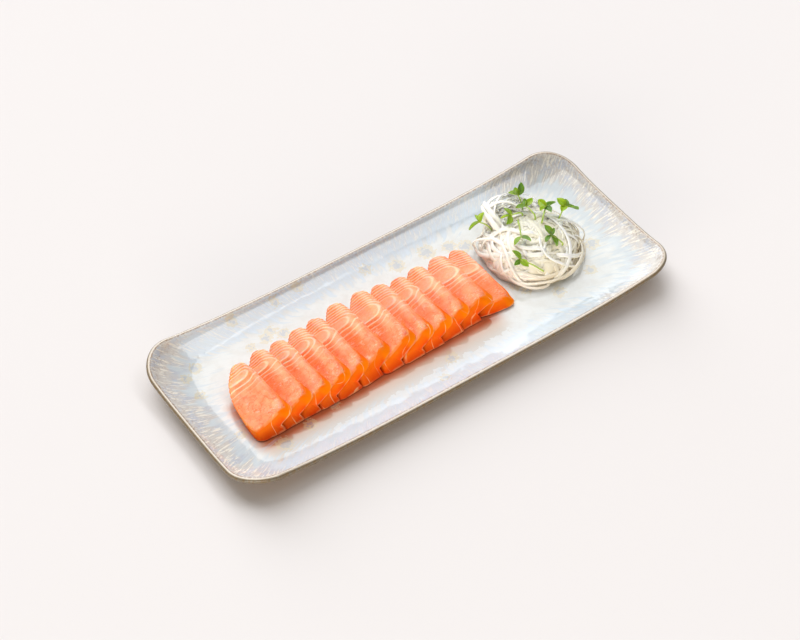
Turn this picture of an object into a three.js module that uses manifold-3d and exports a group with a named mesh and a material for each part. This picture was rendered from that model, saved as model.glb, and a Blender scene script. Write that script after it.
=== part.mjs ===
// Salmon sashimi: a leaning row of slices, a heap of radish shreds and sprigs of cress on a long glazed plate.
// Millimetres, +Z up. The origin is on the table under the middle of the plate and +X runs along the row.
import * as THREE from 'three';
import { mergeVertices } from 'three/addons/utils/BufferGeometryUtils.js';
import loadManifold from 'manifold-3d';

// Plate: a rounded rectangle whose rim dips at the middle of each side and rises to the corners
const PLATE_LENGTH = 350;
const PLATE_WIDTH = 141;
const PLATE_CORNER_RADIUS = 26;
const PLATE_WELL_RADIUS = 17;
const PLATE_WALL = 5.6;
const WELL_LEVEL = 8.5;
const RIM_LEVEL = 16;
const RIM_CORNER_RISE = 10.5;
const RIM_CORNER_POWER = 3.7;
const RIM_RUN_END = 31;
const RIM_RUN_SIDE = 22;
const RIM_CURVE = 1.7;
const LIP_ROUND = 1.6;
const FOOT_INSET = 37;
const FOOT_WIDTH = 7;
const FOOT_RECESS = 1.8;
const FOOT_HEIGHT = 2.6;
const FOOT_SLOPE = 1;
const FOOT_CORNER_RADIUS = 14;
const UNDERSIDE_STEPS = [0.15, 0.5, 0.82];
const RIM_STEPS = [0.78, 0.58, 0.36, 0.16, 0];
const CORNER_STEPS = 6;
const LONG_SIDE_STEPS = 12;
const SHORT_SIDE_STEPS = 4;

// Slices: each lies on the next one to its right. The last lies flat on the plate, and the one over it droops
const SLICE_TILT = THREE.MathUtils.degToRad(28);
const SLICE_FIRST_X = -141.5;
const SLICE_PITCHES = [15.9, 14.9, 15.3, 14.8, 18.1, 18.9, 15.4, 13.7, 15.2, 17.0];
const SLICE_BACK_REACHES = [22.4, 24.2, 24.2, 25.4, 26.7, 29.1, 28.4, 27.4, 25.3, 26.2, 25.7];
const SLICE_FRONT_REACHES = [28.0, 27.4, 27.2, 27.0, 26.8, 25.4, 25.8, 26.4, 26.2, 25.0, 23.6];
const SLICE_WIDTHS = [29.9, 31.4, 31.0, 32.4, 31.6, 32.0, 32.6, 31.2, 32.0, 31.8, 33.2];
const SLICE_FRONT_SKEWS = [0, 1.2, 0.6, 1.8, 2.4, 3.2, 2.0, 1.4, 0.4, 1.0, 0.8];
const FIRST_SLICE_THICKNESS = 7.2;
const SLICE_FLARE = 4.4;
const SLICE_SIDE_FLARE = 2.4;
const SLICE_SIDE_FLARE_RUN = [-0.2, 0.8];
const SLICE_TOP_FLARE = 0.1;
const SLICE_EDGE_ROUND = 0.9;
const SLICE_GAP = 0.35;
const SLICE_DROOP = 4.2;
const SLICE_DROOP_START = 15;
const OUTLINE_STEPS = 34;
const LAST_SLICE = {
  x: 33.6,
  tilt: THREE.MathUtils.degToRad(2),
  thickness: 7.3,
  back: 30,
  front: 23.4,
  width: 31,
  skew: -3,
  droop: 0,
};

// Top face of a slice of unit reach and width: distance along it, back end positive, then distance across it
const SLICE_OUTLINE = [
  [1.0, 0.66],
  [0.86, 0.88],
  [0.45, 0.95],
  [-0.25, 0.965],
  [-0.78, 1.0],
  [-0.95, 0.94],
  [-1.0, 0.72],
  [-1.0, 0.34],
  [-0.95, 0.14],
  [-0.55, 0.08],
  [0.05, 0.14],
  [0.5, 0.27],
  [0.82, 0.46],
];

// Heap of radish shreds: a core with the outermost strands fused on
const HEAP_CENTRE = new THREE.Vector3(103, 4.5, WELL_LEVEL);
const CORE_RADIUS = 34.8;
const CORE_HEIGHT = 23.5;
const CORE_BASE_RADIUS = 32;
const CORE_BUMP = 0.8;
const CORE_SIDES = 14;
const CORE_RINGS = 4;
const CORE_LOW_ELEVATION = 0.22;
const STRAND_COUNT = 22;
const STRAND_WIDTH = 2.6;
const STRAND_DEPTH = 1.6;
const STRAND_STEP = 8;
const STRAND_STAND = 0.7;
const STRAND_LAYER = 1.75;
const STRAND_LAYERS = 2;
const STRAND_TUCK = 3;
const STRAND_TUCK_START = 0.6;
const STRAND_MIN_STATIONS = 5;
const STRAND_ELEVATIONS = [0.15, 1.35];
const STRAND_SPREADS = [0.5, 1.1];
const STRAND_SWEEPS = [2.4, 4.4];
const STRAND_SEED = 41;
const HEAP_GAP = 0.4;

// Loops that stand clear of the core: azimuth, elevation, heading and half span in degrees, then rise
const STANDING_LOOPS = [
  [-20, 20, 75, 46, 7],
  [147, 20, 76, 32, 9],
  [196, 14, 60, 34, 6],
  [114, 46, 10, 32, 15],
  [60, 34, 150, 34, 7],
  [-60, 16, 10, 40, 5],
];

// Cress sprigs: stem foot and tip from the middle of the heap's base, then each leaf's heading and pitch
// in degrees and its length
const SPRIGS = [
  { foot: [-19.3, 21.5, 16.5], tip: [-24.3, 27.5, 20],
    leaves: [[150, -45, 10], [80, 10, 7], [0, 60, 8.5]] },
  { foot: [8.3, 22, 21.5], tip: [8.3, 26.8, 28],
    leaves: [[40, 25, 10], [125, 0, 7.5], [80, 20, 6.5]] },
  { foot: [6.5, 5.1, 26.4], tip: [6.4, 15, 28],
    leaves: [[160, 4, 8], [65, 10, 7], [22, 6, 8.5]] },
  { foot: [1.7, 13.5, 25], tip: [-7.1, 14.7, 27],
    leaves: [[85, 0, 9], [150, -14, 7.5], [-145, -2, 9]] },
  { foot: [-4.7, 9.5, 25.4], tip: [-12.9, -5, 26.2],
    leaves: [[-165, -14, 8], [-66, 4, 8]] },
  { foot: [8.5, -0.5, 26.2], tip: [17.2, 7, 27.6],
    leaves: [[95, 6, 8.5], [5, -6, 9.5], [-165, 16, 7.5], [-95, 10, 7.5]] },
  { foot: [23.7, -0.5, 20.5], tip: [28.3, -0.5, 28],
    leaves: [[110, 25, 8.5], [50, 5, 7], [-150, 12, 8], [-16, -30, 12]] },
  { foot: [10.3, -21.5, 19.5], tip: [4.9, -15.3, 26],
    leaves: [[90, 22, 9], [30, 24, 6], [-160, -4, 7.5], [-96, -24, 9]] },
  { foot: [-11.3, -28.5, 12], tip: [-21.7, -16.5, 18.8],
    leaves: [[100, 26, 9], [175, -26, 6], [-72, -18, 7.5]] },
];
const STEM_RADIUS = 0.55;
const STEM_SIDES = 5;
const STEM_STEPS = 5;
const STEM_ARCH = 1.0;
const STEM_DEPTH = 5;
const STEM_SIDE = new THREE.Vector3(0.31, 0.95, 0.1);
const LEAF_THICKNESS = 0.6;
const LEAF_WIDTH_RATIO = 0.62;
const LEAF_BASE_WIDTH = 0.12;
const LEAF_FULLNESS = 0.8;
const LEAF_TIP_SHARE = 0.94;
const LEAF_CUP = 0.09;
const LEAF_WAVE = 0.05;
const LEAF_WAVE_ALONG = 5;
const LEAF_WAVE_ACROSS = 2;
const LEAF_SUNK = 0.4;
const LEAF_ROWS = 3;
const LEAF_COLUMNS = 2;
const CRESS_GAP = 0.4;

const UP = new THREE.Vector3(0, 0, 1);
const wasm = await loadManifold();
wasm.setup();

// Draws from 0 to 1 that repeat for the same seed
function seededRandom(seed) {
  let state = seed;
  return () => {
    state = (state + 0x6d2b79f5) | 0;
    let t = Math.imul(state ^ (state >>> 15), 1 | state);
    t = (t + Math.imul(t ^ (t >>> 7), 61 | t)) ^ t;
    return ((t ^ (t >>> 14)) >>> 0) / 4294967296;
  };
}

function signedVolume(positions, index) {
  const [a, b, c] = [new THREE.Vector3(), new THREE.Vector3(), new THREE.Vector3()];
  let volume = 0;
  for (let i = 0; i < index.length; i += 3) {
    a.fromArray(positions, index[i] * 3);
    b.fromArray(positions, index[i + 1] * 3);
    c.fromArray(positions, index[i + 2] * 3);
    volume += a.dot(b.cross(c)) / 6;
  }
  return volume;
}

// Geometry from points and triangles, with the faces turned outwards
function closedGeometry(points, triangles) {
  const positions = points.flatMap((p) => [p.x, p.y, p.z]);
  if (signedVolume(positions, triangles) < 0) triangles.reverse();
  const geometry = new THREE.BufferGeometry();
  geometry.setAttribute('position', new THREE.Float32BufferAttribute(positions, 3));
  geometry.setIndex(triangles);
  return geometry;
}

// A closed skin over rings of equal length, with a fan to a middle point at each end
function skinRings(rings, startMiddle, endMiddle) {
  const count = rings[0].length;
  const points = [...rings.flat(), startMiddle, endMiddle];
  const startIndex = points.length - 2;
  const lastRing = (rings.length - 1) * count;
  const triangles = [];
  for (let i = 0; i < count; i++) {
    const next = (i + 1) % count;
    triangles.push(startIndex, next, i);
    for (let r = 0; r < rings.length - 1; r++) {
      const low = r * count;
      const high = low + count;
      triangles.push(low + i, low + next, high + next, low + i, high + next, high + i);
    }
    triangles.push(startIndex + 1, lastRing + i, lastRing + next);
  }
  return closedGeometry(points, triangles);
}

function middleOf(points) {
  const sum = points.reduce((total, p) => total.add(p), new THREE.Vector3());
  return sum.divideScalar(points.length);
}

function toManifold(geometry) {
  const bare = geometry.clone();
  bare.deleteAttribute('normal');
  bare.deleteAttribute('uv');
  const merged = mergeVertices(bare, 1e-5);
  return new wasm.Manifold(new wasm.Mesh({
    numProp: 3,
    vertProperties: new Float32Array(merged.attributes.position.array),
    triVerts: new Uint32Array(merged.index.array),
  }));
}

// Closed geometries joined, less the cuts. Only the largest shell is kept, without loose scraps or hollows
function fuse(geometries, cuts = []) {
  const joined = geometries.map(toManifold).reduce((whole, piece) => whole.add(piece));
  const cut = cuts.map(toManifold).reduce((whole, piece) => whole.subtract(piece), joined);
  const shells = cut.decompose().sort((a, b) => b.volume() - a.volume());
  const mesh = shells[0].getMesh();
  const geometry = new THREE.BufferGeometry();
  geometry.setAttribute('position', new THREE.BufferAttribute(mesh.vertProperties, 3));
  geometry.setIndex(new THREE.BufferAttribute(mesh.triVerts, 1));
  return geometry;
}

// A bar of given section swept along stations, each with a place and two directions across the path
function sweepBar(stations, section) {
  const rings = stations.map(({ place, across, out }) =>
    section.map(([u, v]) => place.clone().addScaledVector(across, u).addScaledVector(out, v)));
  return skinRings(rings, middleOf(rings[0]), middleOf(rings.at(-1)));
}

function makeMaterial(color, roughness) {
  return new THREE.MeshStandardMaterial({ color, roughness, metalness: 0 });
}

function makeMesh(name, geometry, material) {
  const mesh = new THREE.Mesh(geometry, material);
  mesh.name = name;
  return mesh;
}

// Plate

// Rounded rectangle with the same number of points for every size, so that rings can be joined
function roundedRectangle(halfX, halfY, radius) {
  const corners = [[1, 1, 0], [-1, 1, 1], [-1, -1, 2], [1, -1, 3]];
  const points = [];
  for (const [signX, signY, quarter] of corners) {
    const middle = new THREE.Vector2(signX * (halfX - radius), signY * (halfY - radius));
    for (let i = 0; i <= CORNER_STEPS; i++) {
      const angle = (quarter + i / CORNER_STEPS) * Math.PI / 2;
      points.push(new THREE.Vector2(Math.cos(angle), Math.sin(angle)).multiplyScalar(radius).add(middle));
    }
    const steps = quarter % 2 === 0 ? LONG_SIDE_STEPS : SHORT_SIDE_STEPS;
    const start = points.at(-1);
    const end = new THREE.Vector2(
      (quarter % 2 === 0 ? -signX : signX) * (halfX - (quarter % 2 === 0 ? radius : 0)),
      (quarter % 2 === 0 ? signY : -signY) * (halfY - (quarter % 2 === 0 ? 0 : radius)),
    );
    for (let i = 1; i < steps; i++) points.push(start.clone().lerp(end, i / steps));
  }
  return points;
}

function makePlate() {
  const halfX = PLATE_LENGTH / 2;
  const halfY = PLATE_WIDTH / 2;
  const rimLevels = roundedRectangle(halfX, halfY, PLATE_CORNER_RADIUS).map((p) => {
    const cornerness = Math.abs(p.x / halfX) * Math.abs(p.y / halfY);
    return RIM_LEVEL + RIM_CORNER_RISE * cornerness ** RIM_CORNER_POWER;
  });
  // How far up the rim a ring lies: 0 at the edge of the well and 1 at the lip
  const topLevel = (i, t) => WELL_LEVEL + (rimLevels[i] - WELL_LEVEL) * t ** RIM_CURVE;
  const insetRing = (insetX, insetY, radius, level) =>
    roundedRectangle(halfX - insetX, halfY - insetY, radius)
      .map((p, i) => new THREE.Vector3(p.x, p.y, level(i)));
  const rimRing = (t, drop) => insetRing(
    RIM_RUN_END * (1 - t),
    RIM_RUN_SIDE * (1 - t),
    THREE.MathUtils.lerp(PLATE_WELL_RADIUS, PLATE_CORNER_RADIUS, t),
    (i) => topLevel(i, t) - drop,
  );
  const footRing = (inset, level) => insetRing(inset, inset, FOOT_CORNER_RADIUS, () => level);
  const lipRing = (inset, drop) =>
    insetRing(inset, inset, PLATE_CORNER_RADIUS - inset, (i) => rimLevels[i] - drop);
  const rings = [
    footRing(FOOT_INSET + FOOT_WIDTH, FOOT_RECESS),
    footRing(FOOT_INSET + FOOT_WIDTH, 0),
    footRing(FOOT_INSET, 0),
    footRing(FOOT_INSET - FOOT_SLOPE, FOOT_HEIGHT),
    ...UNDERSIDE_STEPS.map((t) => rimRing(t, PLATE_WALL)),
    lipRing(LIP_ROUND * 0.55, PLATE_WALL - LIP_ROUND),
    lipRing(0, LIP_ROUND),
    lipRing(LIP_ROUND * 0.4, LIP_ROUND * 0.3),
    lipRing(LIP_ROUND * 1.2, 0),
    lipRing(LIP_ROUND * 2.2, LIP_ROUND * 0.4),
    ...RIM_STEPS.map((t) => rimRing(t, 0)),
  ];
  return skinRings(rings, new THREE.Vector3(0, 0, FOOT_RECESS), new THREE.Vector3(0, 0, WELL_LEVEL));
}

// Slices

// Points round a slice in its own plane: x across it, y along it with the back end positive
function sliceOutline({ back, front, width, skew }) {
  const control = SLICE_OUTLINE.map(([along, across]) => {
    const reach = along > 0 ? back : front;
    const shift = along < 0 ? -along * skew * (2 * across - 1) : 0;
    return new THREE.Vector3(across * width, along * reach + shift, 0);
  });
  const curve = new THREE.CatmullRomCurve3(control, true, 'centripetal');
  return curve.getPoints(OUTLINE_STEPS).slice(0, OUTLINE_STEPS);
}

// The outline moved outwards by a distance that depends on the place and on the way out
function offsetOutline(outline, distance) {
  const count = outline.length;
  return outline.map((p, i) => {
    const along = outline[(i + 1) % count].clone().sub(outline[(i + count - 1) % count]).normalize();
    const outward = along.cross(UP).multiplyScalar(-1);
    return p.clone().addScaledVector(outward, distance(p, outward));
  });
}

// The cut face at the front slopes outwards to the lower side, and so does the front half of the left edge
function flareAt(p, outward, front) {
  const [start, end] = SLICE_SIDE_FLARE_RUN;
  const side = THREE.MathUtils.smoothstep(-p.y, start * front, end * front);
  return SLICE_FLARE * Math.max(0, -outward.y) + SLICE_SIDE_FLARE * side * Math.max(0, -outward.x);
}

function makeSlice({ thickness, droop, ...outlineSizes }) {
  const top = sliceOutline(outlineSizes);
  const flared = (share) => offsetOutline(top, (p, outward) => share * flareAt(p, outward, outlineSizes.front));
  const rounded = (outline) => offsetOutline(outline, () => -SLICE_EDGE_ROUND);
  const droopRun = outlineSizes.width - SLICE_DROOP_START;
  const sag = (p) => droop * (Math.max(0, p.x - SLICE_DROOP_START) / droopRun) ** 2;
  const atLevel = (outline, level) => outline.map((p) => new THREE.Vector3(p.x, p.y, level - sag(p)));
  const rings = [
    atLevel(rounded(flared(1)), 0),
    atLevel(flared(1), SLICE_EDGE_ROUND),
    atLevel(flared(SLICE_TOP_FLARE), thickness - SLICE_EDGE_ROUND),
    atLevel(rounded(top), thickness),
  ];
  const startMiddle = atLevel([middleOf(rings[0])], 0)[0];
  const endMiddle = atLevel([middleOf(rings[3])], thickness)[0];
  const leftmost = Math.min(...rings[1].map((p) => p.x));
  return skinRings(rings, startMiddle, endMiddle).translate(-leftmost, 0, 0);
}

// Sizes and places of all the slices, left to right
function sliceRow() {
  const row = SLICE_WIDTHS.map((width, i) => {
    const pitches = SLICE_PITCHES.slice(0, i);
    return {
      x: pitches.reduce((x, pitch) => x + pitch, SLICE_FIRST_X),
      tilt: SLICE_TILT,
      thickness: i === 0 ? FIRST_SLICE_THICKNESS : pitches.at(-1) * Math.sin(SLICE_TILT) - SLICE_GAP,
      back: SLICE_BACK_REACHES[i],
      front: SLICE_FRONT_REACHES[i],
      width,
      skew: SLICE_FRONT_SKEWS[i],
      droop: i === SLICE_WIDTHS.length - 1 ? SLICE_DROOP : 0,
    };
  });
  return [...row, LAST_SLICE];
}

// A slice is tilted about its left edge, whose rounded side lies just over the plate
function placeSlice(mesh, { x, tilt }) {
  mesh.rotation.y = -tilt;
  mesh.position.set(x, 0, WELL_LEVEL + SLICE_GAP - SLICE_EDGE_ROUND * Math.sin(tilt));
}

// Radish heap

// A point of the heap's dome of the given size, for an azimuth and elevation in radians
function domePoint(azimuth, elevation, radius, height) {
  return new THREE.Vector3(
    Math.cos(elevation) * Math.cos(azimuth) * radius,
    Math.cos(elevation) * Math.sin(azimuth) * radius,
    Math.sin(elevation) * height,
  );
}

function domeNormal(p, radius, height) {
  return new THREE.Vector3(p.x / radius ** 2, p.y / radius ** 2, p.z / height ** 2).normalize();
}

function makeCore(random) {
  const lift = new THREE.Vector3(0, 0, HEAP_GAP);
  const rings = [[], ...Array.from({ length: CORE_RINGS }, () => [])];
  for (let i = 0; i < CORE_SIDES; i++) {
    const azimuth = i / CORE_SIDES * 2 * Math.PI;
    rings[0].push(domePoint(azimuth, 0, CORE_BASE_RADIUS, 0).add(lift));
    for (let r = 0; r < CORE_RINGS; r++) {
      const elevation = THREE.MathUtils.lerp(CORE_LOW_ELEVATION, Math.PI / 2, r / CORE_RINGS);
      const bump = CORE_BUMP * (random() - 0.5);
      rings[r + 1].push(domePoint(azimuth, elevation, CORE_RADIUS + bump, CORE_HEIGHT + bump).add(lift));
    }
  }
  return skinRings(rings, lift, new THREE.Vector3(0, 0, CORE_HEIGHT).add(lift));
}

// Stations of a strand through the given points, its flat side on the dome
function strandStations(points) {
  return points.map((place, i) => {
    const before = points[Math.max(0, i - 1)];
    const after = points[Math.min(points.length - 1, i + 1)];
    const along = after.clone().sub(before).normalize();
    const out = domeNormal(place, CORE_RADIUS, CORE_HEIGHT);
    out.addScaledVector(along, -out.dot(along)).normalize();
    return { place, out, across: along.clone().cross(out) };
  });
}

// A strand over the core along the given directions. It keeps the longest stretch that is clear of the plate,
// and how far it stands off the core depends on where along it a point is, from -1 to 1
function makeStrand(directions, standAt) {
  const stretches = [[]];
  for (const d of directions) {
    if (d.z * CORE_HEIGHT > STRAND_WIDTH) stretches.at(-1).push(d);
    else stretches.push([]);
  }
  const longest = stretches.reduce((best, stretch) => (stretch.length > best.length ? stretch : best));
  if (longest.length < STRAND_MIN_STATIONS) return [];
  const points = longest.map((d, i) => {
    const stand = standAt(2 * i / (longest.length - 1) - 1);
    const radius = CORE_RADIUS + stand;
    return new THREE.Vector3(d.x * radius, d.y * radius, d.z * (CORE_HEIGHT + stand));
  });
  const [u, v] = [STRAND_WIDTH / 2, STRAND_DEPTH / 2];
  return [sweepBar(strandStations(points), [[-u, -v], [u, -v], [u, v], [-u, v]])];
}

// A strand that lies round the core as part of a circle, with both its ends tucked in
function lyingStrand(random, index) {
  const golden = Math.PI * (3 - Math.sqrt(5));
  const elevation = THREE.MathUtils.lerp(...STRAND_ELEVATIONS, random());
  const axis = domePoint(index * golden, elevation, 1, 1);
  const side = axis.clone().cross(UP).normalize();
  const rise = side.clone().cross(axis);
  const spread = THREE.MathUtils.lerp(...STRAND_SPREADS, random());
  const start = random() * 2 * Math.PI;
  const sweep = THREE.MathUtils.lerp(...STRAND_SWEEPS, random());
  const steps = Math.round(sweep * Math.sin(spread) * CORE_RADIUS / STRAND_STEP);
  const directions = [];
  for (let i = 0; i <= steps; i++) {
    const angle = start + sweep * i / steps;
    directions.push(axis.clone().multiplyScalar(Math.cos(spread))
      .addScaledVector(side, Math.sin(spread) * Math.cos(angle))
      .addScaledVector(rise, Math.sin(spread) * Math.sin(angle)));
  }
  const stand = STRAND_STAND + STRAND_LAYER * (index % STRAND_LAYERS);
  const tucked = (t) => THREE.MathUtils.smoothstep(Math.abs(t), STRAND_TUCK_START, 1);
  return makeStrand(directions, (t) => THREE.MathUtils.lerp(stand, -STRAND_TUCK, tucked(t)));
}

// A loop whose ends go into the core and whose middle stands off it
function standingLoop([azimuth, elevation, heading, halfSpan, rise]) {
  const [a, e, h, s] = [azimuth, elevation, heading, halfSpan].map(THREE.MathUtils.degToRad);
  const axis = domePoint(a, e, 1, 1);
  const east = UP.clone().cross(axis).normalize();
  const north = axis.clone().cross(east);
  const direction = east.multiplyScalar(Math.cos(h)).addScaledVector(north, Math.sin(h));
  const steps = Math.max(STRAND_MIN_STATIONS + 1, Math.round(2 * s * CORE_RADIUS / STRAND_STEP));
  const directions = [];
  for (let i = 0; i <= steps; i++) {
    const angle = s * (2 * i / steps - 1);
    directions.push(axis.clone().multiplyScalar(Math.cos(angle)).addScaledVector(direction, Math.sin(angle)));
  }
  return makeStrand(directions, (t) => rise * (1 - t * t) - STRAND_DEPTH);
}

// Strands that would cross a leaf are left out, and each stem has a socket
function makeHeap() {
  const random = seededRandom(STRAND_SEED);
  const core = makeCore(random);
  const strands = STANDING_LOOPS.flatMap(standingLoop);
  for (let i = 0; i < STRAND_COUNT; i++) strands.push(...lyingStrand(random, i));
  const rooms = SPRIGS.flatMap(leafRooms).map(toManifold);
  const isClear = (strand) => rooms.every((room) => toManifold(strand).intersect(room).isEmpty());
  return fuse([core, ...strands.filter(isClear)], SPRIGS.map(stemSocket));
}

// Cress

// Line of a stem from inside the heap, out at its foot and on to its tip
function stemCurve({ foot, tip }) {
  const footPoint = new THREE.Vector3(...foot);
  const tipPoint = new THREE.Vector3(...tip);
  const inward = domeNormal(footPoint, CORE_RADIUS, CORE_HEIGHT).multiplyScalar(-STEM_DEPTH);
  return new THREE.CatmullRomCurve3([
    footPoint.clone().add(inward),
    footPoint,
    footPoint.clone().lerp(tipPoint, 0.5).add(new THREE.Vector3(0, 0, STEM_ARCH)),
    tipPoint,
  ]);
}

function stemBar(curve, radius) {
  const stations = curve.getPoints(STEM_STEPS).map((place, i) => {
    const along = curve.getTangent(i / STEM_STEPS);
    const across = along.clone().cross(STEM_SIDE).normalize();
    return { place, across, out: across.clone().cross(along) };
  });
  const section = [];
  for (let i = 0; i < STEM_SIDES; i++) {
    const angle = i / STEM_SIDES * 2 * Math.PI;
    section.push([radius * Math.cos(angle), radius * Math.sin(angle)]);
  }
  return sweepBar(stations, section);
}

// Room for a stem in the heap
function stemSocket(sprig) {
  return stemBar(stemCurve(sprig), STEM_RADIUS + CRESS_GAP);
}

// Room for the leaves over the heap
function leafRooms(sprig) {
  const tip = stemCurve(sprig).getPoint(1);
  return sprig.leaves.map((leaf) => makeLeaf(tip, leaf, LEAF_THICKNESS + 2 * CRESS_GAP));
}

// A leaf is a thin cupped and wavy sheet, its two faces split alike, that starts inside the tip of the stem
function makeLeaf(tip, [heading, pitch, length], thickness) {
  const [h, p] = [heading, pitch].map(THREE.MathUtils.degToRad);
  const along = new THREE.Vector3(Math.cos(p) * Math.cos(h), Math.cos(p) * Math.sin(h), Math.sin(p));
  const across = along.clone().cross(UP).normalize();
  const out = across.clone().cross(along);
  const rows = [];
  for (let r = 0; r <= LEAF_ROWS; r++) {
    const t = r / LEAF_ROWS;
    const blade = Math.sin(Math.PI * Math.min(t, LEAF_TIP_SHARE)) ** LEAF_FULLNESS;
    const halfWidth = length * LEAF_WIDTH_RATIO / 2 * Math.max(LEAF_BASE_WIDTH, blade);
    const faces = [0, 1].map((side) => {
      const face = [];
      for (let c = 0; c <= LEAF_COLUMNS; c++) {
        const w = 2 * c / LEAF_COLUMNS - 1;
        const wave = LEAF_WAVE * length * Math.sin(LEAF_WAVE_ALONG * t + LEAF_WAVE_ACROSS * w) * t;
        const lift = t * LEAF_CUP * length * w * w + wave + thickness * (side - 0.5);
        face.push(tip.clone().addScaledVector(along, length * t - LEAF_SUNK)
          .addScaledVector(across, halfWidth * w).addScaledVector(out, lift));
      }
      return face;
    });
    rows.push([...faces[0], ...faces[1].reverse()]);
  }
  const points = rows.flat();
  const count = rows[0].length;
  const triangles = [];
  for (let r = 0; r < LEAF_ROWS; r++) {
    for (let i = 0; i < count; i++) {
      const [a, b] = [r * count + i, r * count + (i + 1) % count];
      triangles.push(a, b, b + count, a, b + count, a + count);
    }
  }
  for (let c = 0; c < LEAF_COLUMNS; c++) {
    const [low, high] = [c, count - 1 - c];
    const end = LEAF_ROWS * count;
    triangles.push(low, high, high - 1, low, high - 1, low + 1);
    triangles.push(end + low, end + low + 1, end + high - 1, end + low, end + high - 1, end + high);
  }
  return closedGeometry(points, triangles);
}

function makeSprig(sprig) {
  const curve = stemCurve(sprig);
  const tip = curve.getPoint(1);
  const leaves = sprig.leaves.map((leaf) => makeLeaf(tip, leaf, LEAF_THICKNESS));
  return fuse([stemBar(curve, STEM_RADIUS), ...leaves]);
}

// Assembly
const group = new THREE.Group();
const glaze = makeMaterial(0xe2d9d0, 0.15);
const salmon = makeMaterial(0xf88a4c, 0.3);
const radish = makeMaterial(0xeeeae0, 0.3);
const cress = makeMaterial(0x4f8a1c, 0.5);

group.add(makeMesh('plate', makePlate(), glaze));

sliceRow().forEach((sizes, i) => {
  const name = `slice_${String(i + 1).padStart(2, '0')}`;
  const mesh = makeMesh(name, makeSlice(sizes), salmon);
  placeSlice(mesh, sizes);
  group.add(mesh);
});

const heapGroup = new THREE.Group();
heapGroup.position.copy(HEAP_CENTRE);
heapGroup.add(makeMesh('radish_shreds', makeHeap(), radish));
SPRIGS.forEach((sprig, i) => heapGroup.add(makeMesh(`sprig_${i + 1}`, makeSprig(sprig), cress)));
group.add(heapGroup);

export default group;
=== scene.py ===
"""Salmon sashimi on a long glazed plate: the looks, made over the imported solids.

Sizes are in millimetres until a mesh is made. The frame is the part's own: +Z up, the row of slices along +X.
"""
import math

import bmesh
import bpy
import numpy as np
from mathutils import Matrix, Quaternion, Vector


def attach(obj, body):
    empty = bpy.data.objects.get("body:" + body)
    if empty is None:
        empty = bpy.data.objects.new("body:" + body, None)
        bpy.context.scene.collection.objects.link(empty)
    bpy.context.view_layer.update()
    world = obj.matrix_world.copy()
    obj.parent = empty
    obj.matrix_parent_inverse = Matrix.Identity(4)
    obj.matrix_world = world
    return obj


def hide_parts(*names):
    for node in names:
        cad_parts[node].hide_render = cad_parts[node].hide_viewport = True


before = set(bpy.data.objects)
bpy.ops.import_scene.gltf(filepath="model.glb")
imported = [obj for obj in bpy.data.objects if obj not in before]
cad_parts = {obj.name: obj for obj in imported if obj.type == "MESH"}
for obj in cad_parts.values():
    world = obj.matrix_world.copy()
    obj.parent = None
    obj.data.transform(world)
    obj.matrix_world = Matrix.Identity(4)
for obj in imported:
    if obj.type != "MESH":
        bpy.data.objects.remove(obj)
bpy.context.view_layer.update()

MM = 0.001

# Camera, fitted to the plate's outline: degrees, then millimetres
CAMERA_AZIMUTH = -35.07
CAMERA_ELEVATION = 48.08
CAMERA_DISTANCE = 1605.8
CAMERA_RIGHT = -7.9
CAMERA_UP = 5.25
CAMERA_LENS = 107.49
CAMERA_SENSOR = 36.0

# Light: an even surround, a softbox above and behind the plate, a strip overhead and a low card in front.
# Degrees, then metres and watts
SURROUND_COLOUR = (1.0, 0.96, 0.89)
SURROUND_STRENGTH = 0.26
SOFTBOX = {"azimuth": 9.5, "elevation": 44, "roll": 5, "distance": 14, "size": (12.2, 26.0), "power": 3260}
TOP_STRIP = {"azimuth": 111.5, "elevation": 65, "roll": 23, "distance": 8, "size": (3.9, 1.8), "power": 80}
FILL = {"azimuth": 230, "elevation": 8, "roll": 0, "distance": 6, "size": (7, 1.6), "power": 330}
FILL_COLOUR = (1.0, 0.9, 0.76)
FLOOR_HALF = 30.0

# Plate, as in the part's source
PLATE_LENGTH = 350
PLATE_WIDTH = 141
PLATE_CORNER_RADIUS = 26
PLATE_WELL_RADIUS = 17
PLATE_WALL = 5.6
WELL_LEVEL = 8.5
RIM_LEVEL = 16
RIM_CORNER_RISE = 10.5
RIM_CORNER_POWER = 3.7
RIM_RUN_END = 31
RIM_RUN_SIDE = 22
RIM_CURVE = 1.7
LIP_ROUND = 1.6
FOOT_INSET = 37
FOOT_WIDTH = 7
FOOT_RECESS = 1.8
FOOT_HEIGHT = 2.6
FOOT_SLOPE = 1
FOOT_CORNER_RADIUS = 14
UNDERSIDE_STEPS = (0.15, 0.5, 0.82)
RIM_STEPS = (0.78, 0.58, 0.36, 0.16, 0)

# Fineness of the plate's mesh
CORNER_STEPS = 30
LONG_SIDE_STEPS = 190
SHORT_SIDE_STEPS = 62
RING_SPACING = 1.3
WELL_RINGS = 40
BASE_RINGS = 6

# Spots where the glaze has broken open: place on the plate and radius
GLAZE_SPOTS = (
    (-142, 46, 4), (-152, 41, 3), (-151, 24, 3), (-147, -18, 3), (-128, -41, 5), (-106, -37, 4),
    (-84, -32, 3), (-83, 46, 3.5), (-89, 42, 4), (-77, 39, 4), (-102, 41, 3), (-102, 64, 3), (-68, 63, 3),
    (-49, 65, 3), (0, 55, 3.5), (20, 46, 5), (44, 45, 5.5), (60, 40, 5), (69, 34, 5), (142, -14, 5),
    (126, -33, 4), (64, -12, 3), (75, -15, 3.5), (79, -23, 3), (96, -37, 4), (2, -43, 4), (-12, -55, 3),
)
# How far up the rim they go, and the value where there is none
SPOTS_UP_TO = 1.1
NO_SPOT = -9.0

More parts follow.
